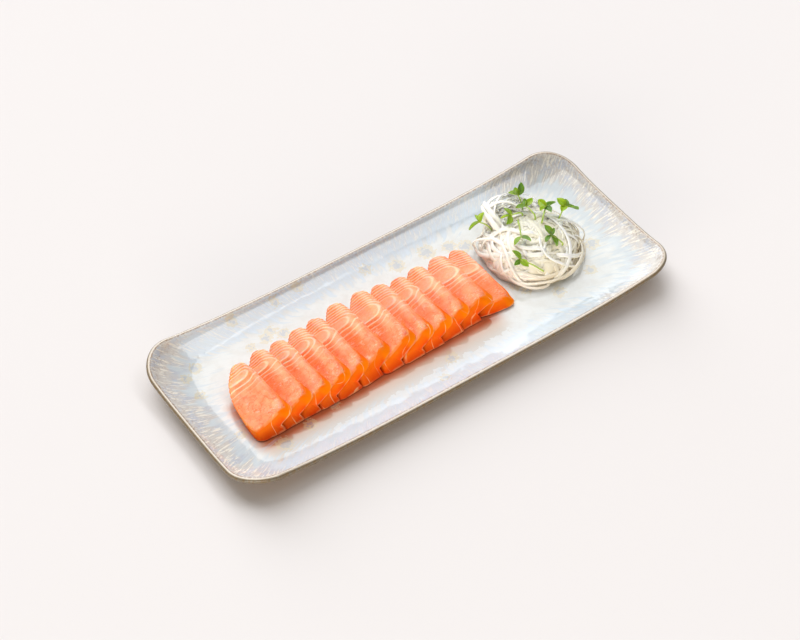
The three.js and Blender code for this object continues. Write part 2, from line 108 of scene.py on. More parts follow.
# Slices, as in the part's source
SLICE_TILT = math.radians(28)
SLICE_FIRST_X = -141.5
SLICE_PITCHES = (15.9, 14.9, 15.3, 14.8, 18.1, 18.9, 15.4, 13.7, 15.2, 17.0)
SLICE_BACK_REACHES = (22.4, 24.2, 24.2, 25.4, 26.7, 29.1, 28.4, 27.4, 25.3, 26.2, 25.7)
SLICE_FRONT_REACHES = (28.0, 27.4, 27.2, 27.0, 26.8, 25.4, 25.8, 26.4, 26.2, 25.0, 23.6)
SLICE_WIDTHS = (29.9, 31.4, 31.0, 32.4, 31.6, 32.0, 32.6, 31.2, 32.0, 31.8, 33.2)
SLICE_FRONT_SKEWS = (0, 1.2, 0.6, 1.8, 2.4, 3.2, 2.0, 1.4, 0.4, 1.0, 0.8)
FIRST_SLICE_THICKNESS = 7.2
SLICE_FLARE = 4.4
SLICE_SIDE_FLARE = 2.4
SLICE_SIDE_FLARE_RUN = (-0.2, 0.8)
SLICE_TOP_FLARE = 0.1
SLICE_EDGE_ROUND = 0.9
SLICE_GAP = 0.35
SLICE_DROOP = 4.2
SLICE_DROOP_START = 15
LAST_SLICE = {
    "x": 33.6, "tilt": math.radians(2), "thickness": 7.3, "back": 30, "front": 23.4, "width": 31, "skew": -3,
    "droop": 0,
}

# Top face of a slice of unit reach and width: distance along it, back end positive, then distance across it
SLICE_OUTLINE = (
    (1.0, 0.66), (0.86, 0.88), (0.45, 0.95), (-0.25, 0.965), (-0.78, 1.0), (-0.95, 0.94), (-1.0, 0.72),
    (-1.0, 0.34), (-0.95, 0.14), (-0.55, 0.08), (0.05, 0.14), (0.5, 0.27), (0.82, 0.46),
)

# Softness of the slices: the right side is rounded down, and the underside settles on the plate in front.
# The right side's start and run are shares of its length from the back. The settling's run is a share of the
# front reach, and its depth a share of the thickness
SLICE_RIGHT_START = (0, 0.15)
SLICE_RIGHT_RUN = (0.5, 0.92)
SLICE_RIGHT_ROUND = (1.8, 4.8)
SLICE_RIGHT_DROP = (1.6, 3.4)
SLICE_SETTLE_RUN = (-0.1, 0.35)
SLICE_SETTLE_DEPTH = (0.45, 1)
SLICE_TOE_GAP = 0.2
SLICE_TOE_FADE = 0.4
SLICE_TOE_REACH = 5

# Which points of the outline are corners, and the fineness of a slice's mesh
SLICE_CORNERS = (1, 5, 8, 12)
SLICE_CELLS_ALONG = 140
SLICE_CELLS_ACROSS = 76
SLICE_SPAN_STEPS = 40
SLICE_SIDE_STEPS = 10
SLICE_ROUND_STEPS = 4

# Fat lines turn round a hairpin on each slice: its middle along the slice and its half width, left to right
FAT_HAIRPINS = (
    (12, 2.3), (11.5, 2), (11, 2), (10.5, 3.2), (10.5, 4), (12, 3.5), (9, 5), (10.5, 4), (10, 4), (9.5, 5),
    (9, 5.5), (10, 4),
)
FAT_TURN_START = 20.5
FAT_TURN_RATE = 0.62
FAT_SLOPE = -0.12
FAT_PITCH_BEHIND = 1.9
FAT_PITCH_FRONT = 3.6
FAT_LINE_WIDTH = 0.8
FAT_FIRST_LINE_WIDTH = 1.7
FAT_FRONT_FADE = (2, 15)
FLESH_RELIEF = 0.3
EDGE_SCALLOP = 0.45

# A painted glint near the front of the first slice, a pale oval: across, along and radius, then its strength
GLINT_OVAL = (26.4, -22.6, 3.6)
GLINT_OVAL_SHARE = 0.6
# A painted highlight, a pale rim where the top meets the right side: its strength and how far it reaches
RIGHT_RIM_HIGHLIGHT_SHARE = 0.4
RIGHT_RIM_HIGHLIGHT_REACH = (1.8, 0.6)
# A paler strip near the right side of all but the first slice: its strength, where it rises and falls
# across the slice, and where it fades along it
PALE_STRIP_SHARE = 0.75
PALE_STRIP_RISE = (22, 26)
PALE_STRIP_FALL = (30.5, 27)
PALE_STRIP_FADE = (-16, 4)
# How deep an orange each slice is, left to right
SLICE_TONES = (0.1, 0.2, 0.1, 0.25, 0.1, 0.3, 0.2, 0.15, 0.1, 0.05, 0.3, 0.75)
# Painted shade on all but the first, a deeper orange beside the slice above where it overhangs them: by how
# much, then where across and along
BESIDE_SHADE = 0.65
BESIDE_SHADE_ACROSS = (26, 18.5)
BESIDE_SHADE_BACK = (18, 4)
BESIDE_SHADE_FRONT = (-26, -8)
# Ragged flesh towards the right front: where across, and at what shares of the front reach
RAGGED_ACROSS = (19, 26)
RAGGED_RUN = (0.45, 0.8)
# How far apart the slices are in the flesh's pattern, and the length of its ripples
FLESH_STEP = 83
FLESH_RIPPLE = 9
# How far rightwards a side must face to count as the right one, and the shares of the front reach between
# which the front's colour comes in
RIGHT_SIDE_WAYS = (0.2, 0.8)
FRONT_RUN = (-0.2, 0.8)

# Heap of radish shreds, as in the part's source
HEAP_CENTRE = np.array((103, 4.5, WELL_LEVEL))
CORE_RADIUS = 34.8
CORE_HEIGHT = 23.5
STRAND_DEPTH = 1.6
STANDING_LOOPS = (
    (-20, 20, 75, 46, 7), (147, 20, 76, 32, 9), (196, 14, 60, 34, 6), (114, 46, 10, 32, 15),
    (60, 34, 150, 34, 7), (-60, 16, 10, 40, 5),
)
HEAP_GAP = 0.4

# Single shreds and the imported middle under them
HEAP_LEFT = -36
SHRED_WIDTH = 3.2
SHRED_DEPTH = 1.0
SHRED_BREADTHS = (0.5, 1.1)
SHRED_ROUND = 0.45
SHRED_STEP = 2.0
SHRED_TUCK = 2.6
SHRED_TUCK_STEPS = 4
SHRED_SEED = 23
SHRED_CLEARANCE = 2.6
SHRED_FEWEST_POINTS = 8
SHRED_KEPT_POINTS = 6
INNER_CORE_SHARE = 0.975
INNER_CORE_LUMP = 0.4
INNER_CORE_LUMP_LENGTH = 7
INNER_CORE_LOWEST = math.degrees(0.12)
INNER_CORE_ROWS = 40
INNER_CORE_COLUMNS = 120
INNER_CORE_TONE = 0.7
# Shreds that lie anyhow: how many, then the least and most that they stand off the solid's core
PACKED_SHREDS = (190, -0.5, 0.4)
LOOSE_SHREDS = (30, 0.4, 2.2)
# Each bends round the heap as part of a circle: ranges of the circle's angle from its axis and of the part
LYING_SPREADS = (0.35, 1.25)
LYING_SWEEPS = (1.6, 4.2)
# A bunch of loops round the tallest one: how many, then ranges of azimuth, elevation, heading, half span
# and rise
BACK_LOOPS = 22
BACK_LOOP_RANGES = ((72, 124), (32, 58), (-60, 60), (27, 36), (7, 18.5))
# Shreds along the foot of the far side: how many, then ranges of azimuth, half span, elevation and slope in
# degrees, the least elevation, and the range of how far they stand off the core
FOOT_SHREDS = 26
FOOT_SHRED_MIDDLES = (-28, 146)
FOOT_SHRED_HALF_SPANS = (22, 42)
FOOT_SHRED_ELEVATIONS = (6, 20)
FOOT_SHRED_SLOPES = (-9, 9)
FOOT_SHRED_LOWEST = 5.5
FOOT_SHRED_STANDS = (0.2, 1.4)
FOOT_SHRED_POINTS = 24
FOOT_SHRED_TUCK = -1.5
# Broad ribbons: azimuth and elevation of places that each passes and how far it stands off the core there
RIBBONS = (
    ((300, 80, 1), (200, 78, 1.5), (145, 60, 2), (150, 44, 2), (158, 34, 0.5)),
    ((150, 50, 1), (190, 46, 2.2), (208, 31, 2.2), (221, 16, 2), (231, 6, 1)),
    ((302, 80, 0.5), (255, 63, 1.5), (260, 47, 2), (275, 31, 2.2), (293, 13, 2.4), (312, 8, 3), (324, 12, 3),
     (331, 25, 2), (328, 42, 0.5)),
    ((40, 75, 0), (5, 44, 1.5), (349, 20, 2.5), (335, 12, 2)),
    ((205, 20, 0.5), (224, 13, 2), (243, 14, 2.4), (263, 14, 2.4), (288, 12, 1.5)),
    ((205, 14, 1), (231, 7, 2.5), (249, 7, 2.5), (262, 13, 1)),
    ((128, 22, 3), (140, 12, 4.5), (155, 12, 3), (170, 24, 2), (182, 38, 0)),
    ((125, 20, 1.5), (139, 32, 2), (160, 46, 2), (189, 50, 0.5)),
    ((150, 60, 0.5), (208, 60, 2), (244, 60, 2.4), (283, 53, 2.2), (322, 32, 1)),
    ((175, 48, 0.5), (190, 34, 1.8), (200, 20, 2), (210, 10, 0.8)),
    ((216, 80, 0.5), (214, 60, 1.6), (237, 43, 1.6), (259, 30, 0.6)),
)
RIBBON_STEPS = 12

# Cress sprigs, as in the part's source: stem foot and tip from the middle of the heap's base, then the
# heading and pitch of each leaf in degrees, and its length
SPRIGS = (
    ((-19.3, 21.5, 16.5), (-24.3, 27.5, 20), ((150, -45, 10), (80, 10, 7), (0, 60, 8.5))),
    ((8.3, 22, 21.5), (8.3, 26.8, 28), ((40, 25, 10), (125, 0, 7.5), (80, 20, 6.5))),
    ((6.5, 5.1, 26.4), (6.4, 15, 28), ((160, 4, 8), (65, 10, 7), (22, 6, 8.5))),
    ((1.7, 13.5, 25), (-7.1, 14.7, 27), ((85, 0, 9), (150, -14, 7.5), (-145, -2, 9))),
    ((-4.7, 9.5, 25.4), (-12.9, -5, 26.2), ((-165, -14, 8), (-66, 4, 8))),
    ((8.5, -0.5, 26.2), (17.2, 7, 27.6), ((95, 6, 8.5), (5, -6, 9.5), (-165, 16, 7.5), (-95, 10, 7.5))),
    ((23.7, -0.5, 20.5), (28.3, -0.5, 28), ((110, 25, 8.5), (50, 5, 7), (-150, 12, 8), (-16, -30, 12))),
    ((10.3, -21.5, 19.5), (4.9, -15.3, 26), ((90, 22, 9), (30, 24, 6), (-160, -4, 7.5), (-96, -24, 9))),
    ((-11.3, -28.5, 12), (-21.7, -16.5, 18.8), ((100, 26, 9), (175, -26, 6), (-72, -18, 7.5))),
)
# Stems: radius, rise of the middle and depth in the heap, then the fineness of the mesh and the taper
STEM_RADIUS = 0.55
STEM_ARCH = 1.0
STEM_DEPTH = 5
STEM_STEPS = 7
STEM_SIDES = 10
STEM_TAPER = (1.1, 0.8)
# Leaves: half width, cup, wave and thickness as shares of the length, base and tip as shares of the half
# width, the roll in degrees, and how far a leaf is sunk in its stem
LEAF_HALF_WIDTH = 0.31
LEAF_CUP = 0.14
LEAF_WAVE = 0.05
LEAF_THICKNESS = 0.05
LEAF_BASE_WIDTH = 0.12
LEAF_TIP_WIDTH = 0.06
LEAF_FULLNESS = 0.8
LEAF_WIDTHS = (0.88, 1.1)
LEAF_ROLL = 50
LEAF_SUNK = 0.4
LEAF_ROWS = 14
LEAF_COLUMNS = 8
LEAF_SEED = 5


# Numbers and curves

def smoothstep(value, low, high):
    share = np.clip((value - low) / (high - low), 0, 1)
    return share * share * (3 - 2 * share)


def lerp(start, end, share):
    return start + (end - start) * share


def colour(red, green, blue):
    """Linear colour of a screen colour whose parts go from 0 to 255"""
    parts = np.array((red, green, blue)) / 255
    linear = np.where(parts <= 0.04045, parts / 12.92, ((parts + 0.055) / 1.055) ** 2.4)
    return (*linear, 1.0)


def direction(azimuth, elevation):
    """Unit vectors at azimuths from +X and elevations, in degrees"""
    a, e = np.broadcast_arrays(np.radians(azimuth), np.radians(elevation))
    return np.stack([np.cos(e) * np.cos(a), np.cos(e) * np.sin(a), np.sin(e)], -1)


def unit(vectors):
    return vectors / np.linalg.norm(vectors, axis=-1, keepdims=True)


def smooth_path(points, steps, closed=False):
    """Centripetal curve through points, each of which may be a whole ring, with steps in each span"""
    points = np.asarray(points, float)
    if closed:
        around = np.concatenate([points[-1:], points, points[:2]])
    else:
        around = np.concatenate([2 * points[:1] - points[1:2], points, 2 * points[-1:] - points[-2:-1]])
    result = []
    for span in range(len(around) - 3):
        a, b, c, d = around[span:span + 4]
        gaps = [np.linalg.norm(q - p, axis=-1).mean() for p, q in ((a, b), (b, c), (c, d))]
        da, db, dc = np.maximum(1e-6, gaps) ** 0.5
        leave = ((b - a) / da - (c - a) / (da + db) + (c - b) / db) * db
        arrive = ((c - b) / db - (d - b) / (db + dc) + (d - c) / dc) * db
        count = steps[span] if np.ndim(steps) else steps
        for t in np.arange(count) / count:
            result.append(
                (2 * t**3 - 3 * t**2 + 1) * b + (t**3 - 2 * t**2 + t) * leave
                + (3 * t**2 - 2 * t**3) * c + (t**3 - t**2) * arrive
            )
    if not closed:
        result.append(points[-1])
    return np.array(result)


def even_path(points, count):
    """The same open path as count points at even spacing"""
    lengths = np.concatenate([[0], np.cumsum(np.linalg.norm(np.diff(points, axis=0), axis=1))])
    wanted = np.linspace(0, lengths[-1], count)
    return np.column_stack([np.interp(wanted, lengths, column) for column in points.T])


def ripple(points, wavelength, seed, waves=9):
    """Smooth seeded unevenness from about -1 to 1 at points, a sum of waves in all directions"""
    random = np.random.default_rng(seed)
    total = np.zeros(points.shape[:-1])
    for _ in range(waves):
        heading = unit(random.normal(size=points.shape[-1]))
        length = wavelength * random.uniform(0.6, 1.6)
        total += np.sin(points @ heading * 2 * math.pi / length + random.uniform(0, 2 * math.pi))
    return total / waves**0.5 / 1.4


# Meshes

def make_mesh(name, points, faces, attributes=None):
    """Mesh from points in millimetres and arrays of faces, with a value or a vector at each point"""
    mesh = bpy.data.meshes.new(name)
    mesh.vertices.add(len(points))
    mesh.vertices.foreach_set("co", (np.asarray(points) * MM).astype(np.float32).ravel())
    corners = np.concatenate([part.ravel() for part in faces])
    sizes = np.concatenate([np.full(len(part), part.shape[1]) for part in faces])
    mesh.loops.add(len(corners))
    mesh.loops.foreach_set("vertex_index", corners.astype(np.int32))
    mesh.polygons.add(len(sizes))
    mesh.polygons.foreach_set("loop_start", (np.cumsum(sizes) - sizes).astype(np.int32))
    mesh.update(calc_edges=True)
    for key, values in (attributes or {}).items():
        add_attribute(mesh, key, values)
    turn_outwards(mesh)
    return mesh


def add_attribute(mesh, name, values):
    """Truth, number or vector at each point"""
    if values.dtype == bool:
        kind, field = "BOOLEAN", "value"
    else:
        kind, field = ("FLOAT", "value") if values.ndim == 1 else ("FLOAT_VECTOR", "vector")
        values = values.astype(np.float32)
    mesh.attributes.new(name, kind, "POINT").data.foreach_set(field, values.ravel())


def turn_outwards(mesh):
    """Faces of closed shapes all turned to point out of them"""
    work = bmesh.new()
    work.from_mesh(mesh)
    bmesh.ops.recalc_face_normals(work, faces=work.faces)
    work.to_mesh(mesh)
    work.free()
    mesh.shade_smooth()


def grid_faces(index):
    """Four-sided faces between the rows and columns of a grid of point numbers"""
    return np.stack([index[:-1, :-1], index[1:, :-1], index[1:, 1:], index[:-1, 1:]], -1).reshape(-1, 4)


def ring_numbers(rings, count):
    """Point numbers of rings, each closed by its first point again"""
    index = np.arange(rings * count).reshape(rings, count)
    return np.column_stack([index, index[:, 0]])


def along_border(grid):
    """Values round the border of a grid, down its first column and back up its last"""
    return np.concatenate([grid[:-1, 0], grid[-1, :-1], grid[:0:-1, -1], grid[0, :0:-1]])


def closed_skin(rings, first_middle, last_middle):
    """Points and faces of a skin over rings, closed by a middle point at each end"""
    points = np.concatenate([rings.reshape(-1, 3), [first_middle, last_middle]])
    count = rings.shape[1]
    index = ring_numbers(len(rings), count)
    fans = [
        np.column_stack([np.full(count, len(points) - 2), index[0, :-1], index[0, 1:]]),
        np.column_stack([np.full(count, len(points) - 1), index[-1, 1:], index[-1, :-1]]),
    ]
    return points, [grid_faces(index), np.concatenate(fans)]


def add_piece(name, mesh, material, slot, *nodes):
    """Object for a finished mesh that stands for the given solids"""
    piece = bpy.data.objects.new(name, mesh)
    bpy.context.scene.collection.objects.link(piece)
    mesh.materials.clear()
    mesh.materials.append(material)
    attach(piece, "root")
    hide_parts(*nodes)


# Materials

class NodeKit:
    """Short calls that add nodes to a tree. Each input is a constant or the output of another node"""

    def set(self, socket, value):
        if isinstance(value, bpy.types.NodeSocket):
            self.tree.links.new(value, socket)
        else:
            socket.default_value = value

    def node(self, kind, inputs, output=0, **settings):
        node = self.tree.nodes.new(kind)
        for key, value in settings.items():
            setattr(node, key, value)
        for key, value in inputs.items():
            self.set(node.inputs[key], value)
        return node.outputs[output]


class Finish(NodeKit):
    """A material"""

    def __init__(self, name):
        self.material = bpy.data.materials.new(name)
        self.material.use_nodes = True
        self.tree = self.material.node_tree
        self.shader = self.tree.nodes["Principled BSDF"]

    def surface(self, **inputs):
        for key, value in inputs.items():
            self.set(self.shader.inputs[key.replace("_", " ").title().replace("Ior", "IOR")], value)
        return self.material

    def attribute(self, name, output="Fac"):
        return self.node("ShaderNodeAttribute", {}, output, attribute_name=name)

    def parts(self, vector):
        node = self.tree.nodes.new("ShaderNodeSeparateXYZ")
        self.set(node.inputs[0], vector)
        return node.outputs

    def place(self):
        """Object coordinates in millimetres"""
        metres = self.node("ShaderNodeTexCoord", {}, "Object")
        return self.node("ShaderNodeVectorMath", {0: metres, "Scale": 1 / MM}, operation="SCALE")

    def stretch(self, vector, x, y, z):
        return self.node("ShaderNodeVectorMath", {0: vector, 1: (x, y, z)}, operation="MULTIPLY")

    def math(self, operation, a, b=0.0):
        return self.node("ShaderNodeMath", {0: a, 1: b}, operation=operation)

    def times(self, *values):
        result = values[0]
        for value in values[1:]:
            result = self.math("MULTIPLY", result, value)
        return result

    def plus(self, a, b):
        return self.math("ADD", a, b)

    def most(self, a, b):
        return self.math("MAXIMUM", a, b)

    def ramp(self, value, low, high, start=0.0, end=1.0):
        """From start to end, smoothly, as the value goes from low to high"""
        inputs = {0: value, 1: low, 2: high, 3: start, 4: end}
        return self.node("ShaderNodeMapRange", inputs, interpolation_type="SMOOTHSTEP")

    def noise(self, vector, size, detail=2.0, roughness=0.5):
        """Noise from 0 to 1 whose features are about size across"""
        inputs = {"Vector": vector, "Scale": 1 / size, "Detail": detail, "Roughness": roughness}
        return self.node("ShaderNodeTexNoise", inputs)

    def blend(self, share, a, b):
        return self.node("ShaderNodeMix", {0: share, 6: a, 7: b}, 2, data_type="RGBA")

    def layers(self, base, *layers):
        """Screen colours laid over a base one after another, each as much as its share"""
        for share, parts in layers:
            base = self.blend(share, base, colour(*parts))
        return base

    def bump(self, height, distance, strength=1.0):
        inputs = {"Height": height, "Distance": distance * MM, "Strength": strength}
        return self.node("ShaderNodeBump", inputs)


def glaze_finish():
    """Reactive glaze: cream in the well, grey-lavender with cream streaks up the rim, a bare tan line at the
    lip.
    Painted reflection makes the long sides paler and bluer, and painted shade and reflection of the row lie
    in front of it"""
    f = Finish("reactive_glaze")
    run = f.node("ShaderNodeUVMap", {}, uv_map="glaze_run")
    rim = f.attribute("rim")
    spot = f.attribute("spot")
    place = f.place()
    x, y, _ = f.parts(place)
    streak = f.noise(f.stretch(run, 1, 0.16, 1), 1.5, 3, 0.6)
    broad_streak = f.noise(f.stretch(run, 1, 0.3, 1), 5, 2, 0.5)
    mottle = f.noise(place, 9, 3, 0.6)
    fine = f.noise(place, 1.6, 2, 0.6)

    # Where the rim's colour begins, uneven along the run
    edge = f.plus(rim, f.ramp(broad_streak, 0.3, 0.7, -0.2, 0.2))
    on_rim = f.ramp(edge, 0.16, 0.55)
    teal = f.times(f.ramp(edge, 0.0, 0.2), f.ramp(edge, 0.6, 0.32))
    near_lip = f.ramp(rim, 0.45, 0.95, 0.1, 0.7)
    well = f.layers(
        colour(220, 224, 224),
        (f.ramp(mottle, 0.35, 0.7), (214, 216, 214)),
        (f.times(f.ramp(streak, 0.5, 0.75), 0.3), (206, 208, 211)),
    )
    lavender = f.layers(
        colour(203, 199, 194),
        (f.ramp(mottle, 0.4, 0.65), (190, 195, 205)),
        (f.ramp(streak, 0.5, 0.6), (232, 228, 218)),
        (f.times(f.ramp(fine, 0.5, 0.68), near_lip), (172, 156, 146)),
    )

    # Painted shade and reflection of the row of slices on the glaze in front of it, deepest at its foot, with
    # a ragged edge where the reflection ends
    row_shade = f.times(f.ramp(y, 10, 0), f.ramp(x, -148, -134), f.ramp(x, 56, 42))
    from_foot = f.plus(y, f.times(x, -0.027))
    reflection_edge = f.plus(from_foot, f.ramp(f.noise(place, 6, 3, 0.6), 0.3, 0.7, -3, 3))

    # Painted reflection of the bright surround: the long sides are paler and bluer than the ends, broken by
    # the glaze's streaks
    long_side_sheen = f.times(f.ramp(f.math("ABSOLUTE", y), 42, 52), f.ramp(x, -152, -134), f.ramp(x, 122, 100))
    side_sheen = f.times(long_side_sheen, f.ramp(edge, 0.0, 0.3), f.ramp(rim, 1.0, 0.9))
    front_sheen = f.times(f.ramp(y, -40, -50), f.ramp(x, -140, -120), f.ramp(x, 90, 50))

    # Spots: a cream-yellow ring round a grey-blue middle
    ragged = f.plus(spot, f.ramp(f.noise(place, 2.2, 2, 0.6), 0.25, 0.75, -1.7, 1.7))
    ring = f.times(f.ramp(ragged, -1.2, -0.2), f.ramp(ragged, 2.2, 0.8))
    middle = f.ramp(ragged, 1.0, 2.4)

    # The lip, and the wall and foot outside it
    lip_line = f.times(f.ramp(rim, 0.92, 0.96), f.ramp(rim, 1.0, 0.98))
    outside = f.layers(colour(116, 98, 72), (f.ramp(streak, 0.4, 0.65), (118, 110, 96)))
    foot = f.ramp(rim, 1.93, 1.97)

    body = f.layers(
        f.blend(on_rim, well, lavender),
        # Painted shade and reflection of the row: a ragged edge, then orange-brown deepening to the row's
        # foot
        (f.times(f.ramp(reflection_edge, -46.6, -45.8), row_shade, 0.8), (203, 195, 184)),
        (f.times(f.ramp(from_foot, -45, -31), row_shade, 0.7), (224, 182, 150)),
        (f.times(f.ramp(from_foot, -37.5, -31), row_shade, 0.9), (188, 98, 54)),
        (f.times(teal, 0.5), (188, 204, 216)),
        # Painted reflection on the long sides and the front rim
        (f.times(side_sheen, f.ramp(streak, 0.3, 0.7, 0.8, 0.4)), (211, 226, 240)),
        (f.times(front_sheen, f.ramp(edge, 0.9, 0.5), 0.35), (224, 234, 241)),
        (f.times(ring, 0.5), (214, 200, 160)),
        (f.times(middle, 0.5), (164, 170, 178)),
        (f.times(lip_line, f.ramp(fine, 0.3, 0.6, 0.3, 0.8)), (150, 122, 96)),
        (f.ramp(rim, 0.975, 1.0), (222, 212, 197)),
    )
    body = f.layers(
        f.blend(f.ramp(rim, 1.0, 1.02), body, outside),
        (f.ramp(rim, 1.16, 1.4), (150, 116, 76)),
        (foot, (186, 164, 138)),
    )

    waves = f.plus(f.times(f.noise(place, 14, 1), 0.6), f.times(streak, f.ramp(rim, 0, 0.5), 0.12))
    waves = f.plus(waves, f.times(f.noise(place, 6, 2), f.ramp(rim, -0.3, 0.3, 0.4, 1.4)))
    return f.surface(
        base_color=body, roughness=f.ramp(foot, 0, 1, 0.05, 0.7), ior=1.5, normal=f.bump(waves, 0.5, 0.25),
    )


def salmon_finish():
    """Wet raw salmon: peach flesh with pale fat lines on the cut top, saturated orange at the sides"""
    f = Finish("raw_salmon")
    flesh = f.attribute("flesh", "Vector")
    across, along, _ = f.parts(flesh)
    grain, strength, half_width = f.parts(f.attribute("grain", "Vector"))
    side, depth, corner = f.parts(f.attribute("cut", "Vector"))
    mottle = f.noise(flesh, 6, 3, 0.6)
    fine = f.noise(f.stretch(flesh, 0.4, 1, 1), 0.7, 2, 0.6)
    fleck_and_glint = f.noise(f.stretch(flesh, 0.5, 1, 1), 1.1, 3, 0.65)
    wobble = f.ramp(f.noise(flesh, 14, 1), 0.2, 0.8, -0.35, 0.35)

    # Pale lines at whole numbers of the grain
    off_line = f.math("PINGPONG", f.plus(grain, wobble), 0.5)
    sharp = f.math("DIVIDE", off_line, half_width)
    line = f.times(f.ramp(sharp, 1.7, 0.3), strength, f.ramp(fine, 0.2, 0.7, 0.7, 1.0))

    # Orange towards the back, pink and mottled towards the front, with white flecks that are partly painted
    # wet glints, and red cracks
    front = f.ramp(along, 8, -6)
    patch = f.most(f.ramp(f.noise(flesh, 7, 1), 0.5, 0.64), f.attribute("ragged"))
    crack = f.math("ABSOLUTE", f.math("SUBTRACT", f.noise(flesh, 9, 3, 0.55), 0.5))
    top = f.layers(
        colour(255, 146, 102),
        (f.ramp(along, 4, 20), (255, 134, 66)),
        (f.ramp(mottle, 0.38, 0.64, 0, 0.7), (255, 180, 140)),
        # Deeper orange: each slice's own tone, with painted shade beside the slice above
        (f.times(f.attribute("tone"), 0.85), (255, 117, 38)),
        (f.times(f.ramp(fine, 0.45, 0.75), 0.3), (255, 190, 156)),
        (f.times(f.ramp(fleck_and_glint, 0.48, 0.68), patch, front, 0.55), (255, 222, 200)),
        (f.times(f.ramp(crack, 0.022, 0.004), front, 0.55), (246, 108, 58)),
        # The pale band inside each hairpin, with the painted highlights along the right rim and the first
        # slice's glint
        (f.times(f.attribute("band"), f.ramp(fine, 0.3, 0.7, 0.5, 0.8)), (255, 200, 166)),
        (f.times(line, 0.74), (255, 232, 208)),
    )

    # Cut faces at the sides, deeper below, with the fat sheets showing as thin lines that lean and bend, and
    # a painted highlight under the top edge
    bend = f.plus(across, f.ramp(f.noise(flesh, 18, 0), 0.2, 0.8, -8, 8))
    sheet = f.math("PINGPONG", f.plus(f.times(bend, 1 / 17), f.times(depth, 0.55)), 0.5)
    sheet_line = f.times(f.ramp(sheet, 0.035, 0.01), f.ramp(f.noise(flesh, 6, 1), 0.4, 0.6, 0.2, 1))
    low_line = f.times(f.ramp(depth, 0.8, 0.9), f.ramp(f.noise(flesh, 7, 1), 0.4, 0.6, 0.1, 0.6))
    # Painted highlight: a broken pale line just under the faces' top edge
    broken = f.ramp(f.noise(flesh, 5, 1), 0.35, 0.6, 0.2, 1)
    edge_highlight = f.times(f.ramp(depth, 0.22, 0.13), broken, f.ramp(corner, 0, 0.3, 0.5, 0))
    face = f.layers(
        colour(255, 122, 10),
        (f.ramp(depth, 0.15, 1.0), (236, 70, 10)),
        (f.ramp(mottle, 0.45, 0.75, 0, 0.3), (255, 132, 40)),
        (corner, (255, 126, 2)),
        (f.times(sheet_line, 0.75), (255, 196, 144)),
        (low_line, (255, 186, 130)),
        (edge_highlight, (255, 180, 126)),
    )

    height = f.plus(f.times(fine, 0.25), f.times(f.noise(flesh, 2.4, 2), 0.75))
    wet = f.times(f.ramp(f.noise(flesh, 3.5, 2), 0.5, 0.7, 0.1, 0.5), f.ramp(side, 0, 1, 1, 0.1))
    return f.surface(
        base_color=f.blend(side, top, face), roughness=0.4, ior=1.4,
        specular_ior_level=f.ramp(side, 0, 1, 0.25, 0.08),
        subsurface_weight=f.ramp(f.times(side, depth), 0.3, 0.7, 0.85, 0.1),
        subsurface_radius=(0.7, 0.2, 0.06), subsurface_scale=4.5 * MM,
        coat_weight=wet, coat_roughness=0.1, coat_ior=1.33, normal=f.bump(height, 0.35, 0.35),
    )


def radish_finish(name, pale, deep, low, milkiness):
    """Wet radish flesh, milky to a depth in millimetres. Painted shade makes it darker low down, and painted
    light makes it pink-white beside the fish, on the heap's shaded left side
    """
    f = Finish(name)
    place = f.place()
    x, _, z = f.parts(place)
    fibre = f.noise(place, 1.2, 2, 0.6)
    body = f.layers(
        colour(*pale),
        (f.ramp(f.attribute("tone"), 0, 1), deep),
        (f.ramp(fibre, 0.4, 0.7, 0, 0.25), (250, 250, 246)),
        # Painted shade: darker low down on the heap
        (f.ramp(z, 25, 11, 0, 0.7), low),
        # Painted light: pink-white beside the fish, where the heap's left side lies in shade
        (f.ramp(x, 98, 74, 0, 0.85), (255, 246, 238)),
    )
    return f.surface(
        base_color=body, roughness=0.24, ior=1.36, subsurface_weight=0.6, subsurface_radius=(1.0, 1.0, 0.85),
        subsurface_scale=milkiness * MM, coat_weight=0.3, coat_roughness=0.1, normal=f.bump(fibre, 0.1, 0.3),
    )


def cress_finish():
    """Cress: bright to dark green leaves with a paler middle vein, and yellow-green stems"""
    f = Finish("cress_green")
    up_leaf, from_vein, is_leaf = f.parts(f.attribute("blade", "Vector"))
    mottle = f.noise(f.place(), 1.5, 3, 0.6)
    side_vein = f.math("PINGPONG", f.plus(f.times(up_leaf, 6), f.times(from_vein, -2.2)), 0.5)
    vein = f.most(f.ramp(from_vein, 0.09, 0.02), f.times(f.ramp(side_vein, 0.09, 0.02), 0.4))
    leaf = f.layers(
        colour(156, 182, 22),
        (f.ramp(f.attribute("tone"), 0, 1), (74, 110, 10)),
        (f.ramp(mottle, 0.35, 0.7, 0, 0.4), (116, 152, 14)),
        (f.times(vein, 0.5), (150, 194, 80)),
        (f.ramp(up_leaf, 0.16, 0.0, 0, 0.7), (176, 196, 88)),
    )
    stem = f.layers(colour(188, 202, 96), (f.ramp(mottle, 0.35, 0.65), (150, 186, 66)))
    height = f.plus(f.times(vein, -0.6), f.times(mottle, 0.3))
    return f.surface(
        base_color=f.blend(is_leaf, stem, leaf), roughness=0.38, subsurface_weight=0.35,
        subsurface_radius=(0.5, 1.0, 0.2), subsurface_scale=1.2 * MM, normal=f.bump(height, 0.12, 0.5),
    )


# Plate

def rounded_rectangle(half_x, half_y, radius):
    """Points round a rounded rectangle, the same number for every size"""
    quarter = np.linspace(0, math.pi / 2, CORNER_STEPS + 1)
    corners = []
    for turn, signs in enumerate(((1, 1), (-1, 1), (-1, -1), (1, -1))):
        angle = quarter + turn * math.pi / 2
        middle = np.array(signs) * (half_x - radius, half_y - radius)
        corners.append(middle + radius * np.column_stack([np.cos(angle), np.sin(angle)]))
    stretches = []
    for turn, corner in enumerate(corners):
        steps = SHORT_SIDE_STEPS if turn % 2 else LONG_SIDE_STEPS
        share = np.arange(1, steps)[:, None] / steps
        stretches += [corner, lerp(corner[-1], corners[(turn + 1) % 4][0], share)]
    return np.concatenate(stretches)


